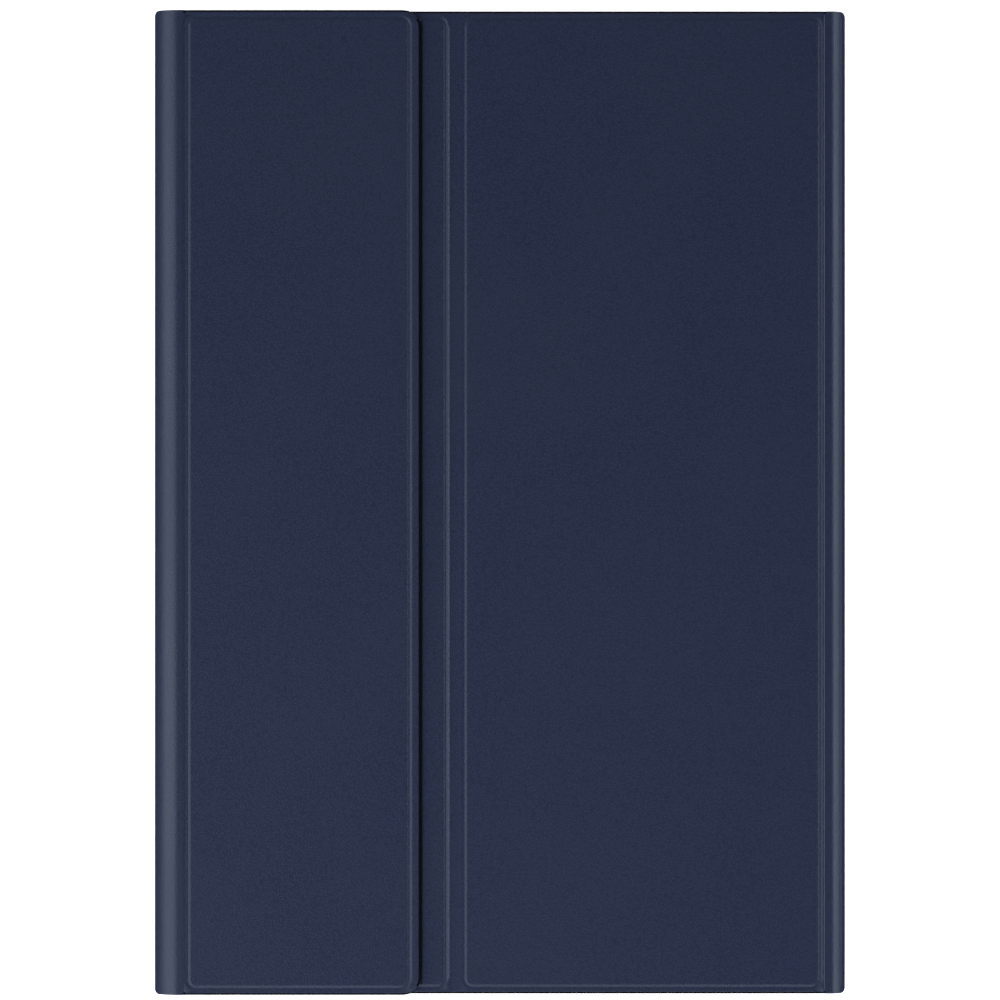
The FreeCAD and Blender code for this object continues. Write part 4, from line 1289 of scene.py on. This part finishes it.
@dataclass
class KeyboardCase:
    """The keyboard's lower shell, key frame and the small parts of its bar, in millimetres."""

    back: float = -20.0
    front: float = 88.0
    half: float = 123.0
    low: float = 2.5
    split: float = 5.6
    plate: float = 6.6
    bar: float = 7.6
    bar_front: float = -8.0
    bar_ceiling: float = 6.8
    floor: float = 3.3
    wall: float = 1.2
    corner: float = 3.0
    well_gap: float = 0.7
    port: tuple[Point, Point] = ((-18.6, 120.5, 3.25), (-9.4, 124.0, 6.55))
    slot: tuple[Point, Point] = ((-15.2, 86.9, 6.0), (-12.8, 93.9, 8.4))
    port_corner: float = 1.5
    slot_corner: float = 0.8
    lights: tuple[float, ...] = (71.8, 76.8, 81.8)
    light_x: float = -14.0
    light_hole: float = 1.0
    lens_radius: float = 0.95
    lens_rise: float = 0.08
    lens_edge: float = 0.3
    sides: int = 24
    clear: float = 1.0
    well_corner: float = 1.7
    frame_wall: float = 1.4
    edge: float = 0.3
    pads: tuple[Pair, ...] = ((-14.0, 7.6), (86.5, 6.6))
    pad_top: float = 8.0
    pad_half: Pair = (1.0, 10.0)
    pad_y: float = 111.0
    pad_corner: float = 0.9
    pad_edge: float = 0.25
    slider: float = 0.5
    knob_size: Pair = (2.0, 4.0)
    knob_corner: float = 0.4
    knob_edge: float = 0.06
    rib: float = 0.5
    ribs: int = 3
    groove: Pair = (0.1, -0.2)

    def wells(self) -> list[Any]:
        """Returns the blocks that cut a well for every key."""
        half = (Keys.size + self.well_gap) / 2
        low, high = (-half, -half, self.split - self.clear), (half, half, self.bar + self.clear)
        master = cutting_bar(low, high, self.well_corner, Axis.Z)
        cutters = [
            copy_of(master, key.x, key.y, key.wide - Keys.size, key.deep - Keys.size)
            for row in ROWS
            for key in row.places()
        ]
        discard(master)
        return cutters

    def base(self) -> Any:
        """Models the lower shell and returns its object."""
        bench = Bench("keyboard_lower_shell")
        bench.block((self.back, -self.half, self.low), (self.front, self.half, self.split))
        bench.pick(Kind.EDGE, along(Axis.Z, SHORTEST)).round(self.corner, 5)
        bench.pick(Kind.FACE, facing(z=1)).inset(self.wall).pull_faces(z=self.floor - self.split)
        bench.weld().soften(self.edge, degrees=55)
        bench.cut([cutting_bar(*self.port, self.port_corner, Axis.Y)])
        piece = enrol(bench.finish(CRISP), CASE, "keyboard_plastic", "keyboard_base")
        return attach(piece, "keyboard_cover")

    def frame(self) -> Any:
        """Models the frame round the keys and returns its object."""
        bench = Bench("keyboard_key_frame")
        bench.block((self.back, -self.half, self.split), (self.front, self.half, self.plate))
        bench.pick(Kind.EDGE, along(Axis.Z, SHORTEST)).round(self.corner, 5)
        bench.slice(self.bar_front)
        rear = within(x=(self.back, self.bar_front))
        bench.pick(Kind.FACE, every(facing(z=1), rear)).pull_faces(z=self.bar - self.plate)
        bench.pick(Kind.FACE, every(facing(z=-1), rear)).inset(self.frame_wall)
        bench.pull_faces(z=self.bar_ceiling - self.split)
        bench.weld().soften(self.edge, degrees=55)
        cutters = self.wells()
        cutters.append(cutting_bar(*self.port, self.port_corner, Axis.Y))
        cutters.append(cutting_bar(*self.slot, self.slot_corner, Axis.Z))
        for y in self.lights:
            x, hole = self.light_x, self.light_hole
            low = (x - hole, y - hole, self.bar_ceiling - self.clear)
            high = (x + hole, y + hole, self.bar + self.clear)
            cutters.append(Bench("cutter").drum(low, high, self.sides).finish())
        bench.cut(cutters)
        piece = enrol(bench.finish(CRISP), CASE, "keyboard_plastic", "keyboard_frame")
        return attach(piece, "keyboard_cover")

    def bumpers(self) -> Any:
        """Models the four soft strips that keep the tray off the keys and returns them."""
        strips = []
        deep, long = self.pad_half
        for x, low in self.pads:
            bench = Bench("bumper")
            bench.block((-deep, -long, low), (deep, long, self.pad_top))
            bench.pick(Kind.EDGE, along(Axis.Z, SHORTEST)).round(self.pad_corner)
            bench.pick(Kind.EDGE, at(z=self.pad_top)).round(self.pad_edge, 3)
            master = bench.finish(50)
            strips += [copy_of(master, x, y) for y in (-self.pad_y, self.pad_y)]
            discard(master)
        piece = enrol(join("keyboard_bumper_strips", strips), RUBBER, "rubber", "keyboard_bumpers")
        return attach(piece, "keyboard_cover")

    def knob(self) -> Any:
        """Models the switch's slider with its ribbed knob and returns it."""
        low, high = (Vector(corner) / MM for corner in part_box("power_switch"))
        shelf = low.z + self.slider
        middle = (low + high) / 2
        bench = Bench("power_switch_knob")
        bench.block(tuple(low), (high.x, high.y, shelf))
        margin = (high.y - low.y - self.knob_size[1]) / 2
        share = self.knob_size[0] / (high.x - low.x - 2 * margin)
        bench.pick(Kind.FACE, facing(z=1)).inset(margin).resize((middle.x, middle.y, shelf), x=share)
        bench.pull_faces(z=high.z - shelf)
        post = within(z=(shelf, high.z))
        bench.pick(Kind.EDGE, every(post, along(Axis.Z, SHORTEST))).round(self.knob_corner, 3)
        cuts = [middle.y + self.rib * (k + 0.5 - self.ribs) for k in range(2 * self.ribs)]
        for y in cuts:
            bench.slice(y, Axis.Y)
        for near, far in zip(cuts[::2], cuts[1::2]):
            bench.pick(Kind.FACE, every(facing(z=1), at(z=high.z), within(y=(near, far))))
            bench.inset(*self.groove)
        bench.weld().soften(self.knob_edge, 2)
        piece = enrol(bench.finish(), KEY, "key_plastic", "power_switch")
        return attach(piece, "power_switch")

    def lenses(self) -> Any:
        """Models the three status lights and returns them."""
        bench, radius, top = Bench("lens"), self.lens_radius, self.bar + self.lens_rise
        bench.drum((-radius, -radius, self.bar_ceiling), (radius, radius, top), self.sides)
        bench.pick(Kind.EDGE, at(z=top)).round(self.lens_edge)
        master = bench.finish(60)
        lenses = [copy_of(master, self.light_x, y) for y in self.lights]
        discard(master)
        lights = join("status_light_lenses", lenses)
        piece = enrol(lights, SLOT_FINISHES["light"], "light", "status_lights")
        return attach(piece, "keyboard_cover")

    def build(self) -> list[Any]:
        """Models every piece of the keyboard's case and returns them."""
        return [self.base(), self.frame(), self.bumpers(), self.knob(), self.lenses()]


@dataclass(frozen=True)
class Lamp:
    """A soft rectangular light that looks at the case.

    Attributes:
        name: the light's name.
        place: where it stands, in metres.
        size: its width and height in metres.
        power: its power in watts.
    """

    name: str
    place: Point
    size: Pair
    power: float

    def hang(self) -> None:
        """Adds the light to the scene."""
        light = bpy.data.lights.new(self.name, "AREA")
        light.shape = "RECTANGLE"
        light.size, light.size_y = self.size
        light.energy = self.power
        obj = bpy.data.objects.new(self.name, light)
        bpy.context.scene.collection.objects.link(obj)
        obj.location = self.place
        obj.rotation_euler = (-Vector(self.place)).to_track_quat("-Z", "Y").to_euler()


@dataclass(frozen=True)
class Studio:
    """The pale floor, the soft lights and the camera over the case, in metres.

    Attributes:
        height: the camera's height.
        level: the height at which the picture is as wide as the photograph.
        photo_width: that width.
        aim: the place that the camera is over.
        sensor: the width of its sensor, in millimetres.
        sight: how far it sees.
        floor_reach: how far the floor goes, in millimetres.
        floor_drop: how far it lies under the case, in millimetres.
        lamps: the lights.
    """

    height: float = 2.2
    level: float = 0.016
    photo_width: float = 0.2634
    aim: Pair = (0.00005, 0.00066)
    sensor: float = 36.0
    sight: float = 20.0
    floor_reach: float = 3000.0
    floor_drop: float = 0.3
    lamps: tuple[Lamp, ...] = (
        Lamp("left_low_softbox", (-0.80, -0.10, 0.26), (0.9, 0.4), 4.4),
        Lamp("left_high_softbox", (-0.60, -0.25, 0.73), (0.8, 0.5), 4.9),
        Lamp("right_softbox", (0.95, -0.05, 0.40), (0.8, 0.36), 8.5),
        Lamp("front_softbox", (-0.05, -0.75, 0.62), (0.7, 0.3), 3.8),
    )

    def floor(self) -> None:
        """Lays the floor."""
        bench, reach, z = Bench("floor"), self.floor_reach, -self.floor_drop
        bench.plane((-reach, -reach, z), (reach, reach, z))
        piece = bench.finish()
        pale = Finish(
            "pale_floor", (0.93, 0.93, 0.93), (0.90, 0.90, 0.90), cell=6.0, depth=0.02,
            strength=0.05, rough=(0.85, 0.9), gloss=0.1, fade=0.1, glow=0.7,
        )
        pale.dress(piece)
        piece.visible_glossy = False

    def sky(self, top: float, left: float, right: float, ground: float) -> None:
        """Makes a plain sky, dim overhead and brighter on the left than on the right.

        Args:
            top: the strength straight overhead.
            left: the strength lower down on the left.
            right: the strength lower down on the right.
            ground: the strength below the horizon, which only reflections see.
        """
        world = bpy.data.worlds.new("studio")
        world.use_nodes = True
        bpy.context.scene.world = world
        graph = Graph(world.node_tree)
        split = graph.add("SeparateXYZ", {0: graph.add("TexCoord").outputs["Generated"]})
        sides = graph.ramp(split.outputs["X"], -0.8, 0.8, left, right)
        low = graph.ramp(split.outputs["Z"], -0.1, 0.25, ground, sides)
        strength = graph.ramp(split.outputs["Z"], 0.55, 0.95, low, top)
        back = world.node_tree.nodes["Background"]
        back.inputs["Color"].default_value = (1, 1, 1, 1)
        world.node_tree.links.new(strength, back.inputs["Strength"])

    def camera(self) -> None:
        """Sets the camera straight above, at the photograph's framing."""
        lens = bpy.data.cameras.new("camera")
        lens.sensor_width = self.sensor
        lens.lens = self.sensor * (self.height - self.level) / self.photo_width
        lens.clip_end = self.sight
        obj = bpy.data.objects.new("camera", lens)
        bpy.context.scene.collection.objects.link(obj)
        obj.location = (*self.aim, self.height)
        bpy.context.scene.camera = obj

    def set_up(self) -> None:
        """Sets up the whole studio."""
        bpy.context.scene.view_settings.view_transform = "Standard"
        self.floor()
        for lamp in self.lamps:
            lamp.hang()
        self.sky(top=0.14, left=1.0, right=0.6, ground=0.06)
        self.camera()


def dress_nodes() -> None:
    """Gives every node that still shows the finish of its slot."""
    slots = {part["node"]: part["material_slot"] for part in frame["record"]["subparts"]}
    for name, obj in frame["nodes"].items():
        material = NODE_FINISHES.get(name, SLOT_FINISHES[slots[name]]).make()
        if not obj.material_slots:
            obj.data.materials.append(material)
        for slot in obj.material_slots:
            slot.material = material


def main() -> None:
    """Builds every piece of the case in order."""
    logging.basicConfig(level=logging.INFO, format="%(name)s %(message)s")
    dress_nodes()
    leathers = (FlapLeather(), StandLeather(), CoverLeather())
    insides = (InnerLining(), CoverLining(), Tray(), KeyboardCase(), Keys())
    for assembly in (*leathers, *insides):
        assembly.build()
    Studio().set_up()


if __name__ == "__main__":
    main()
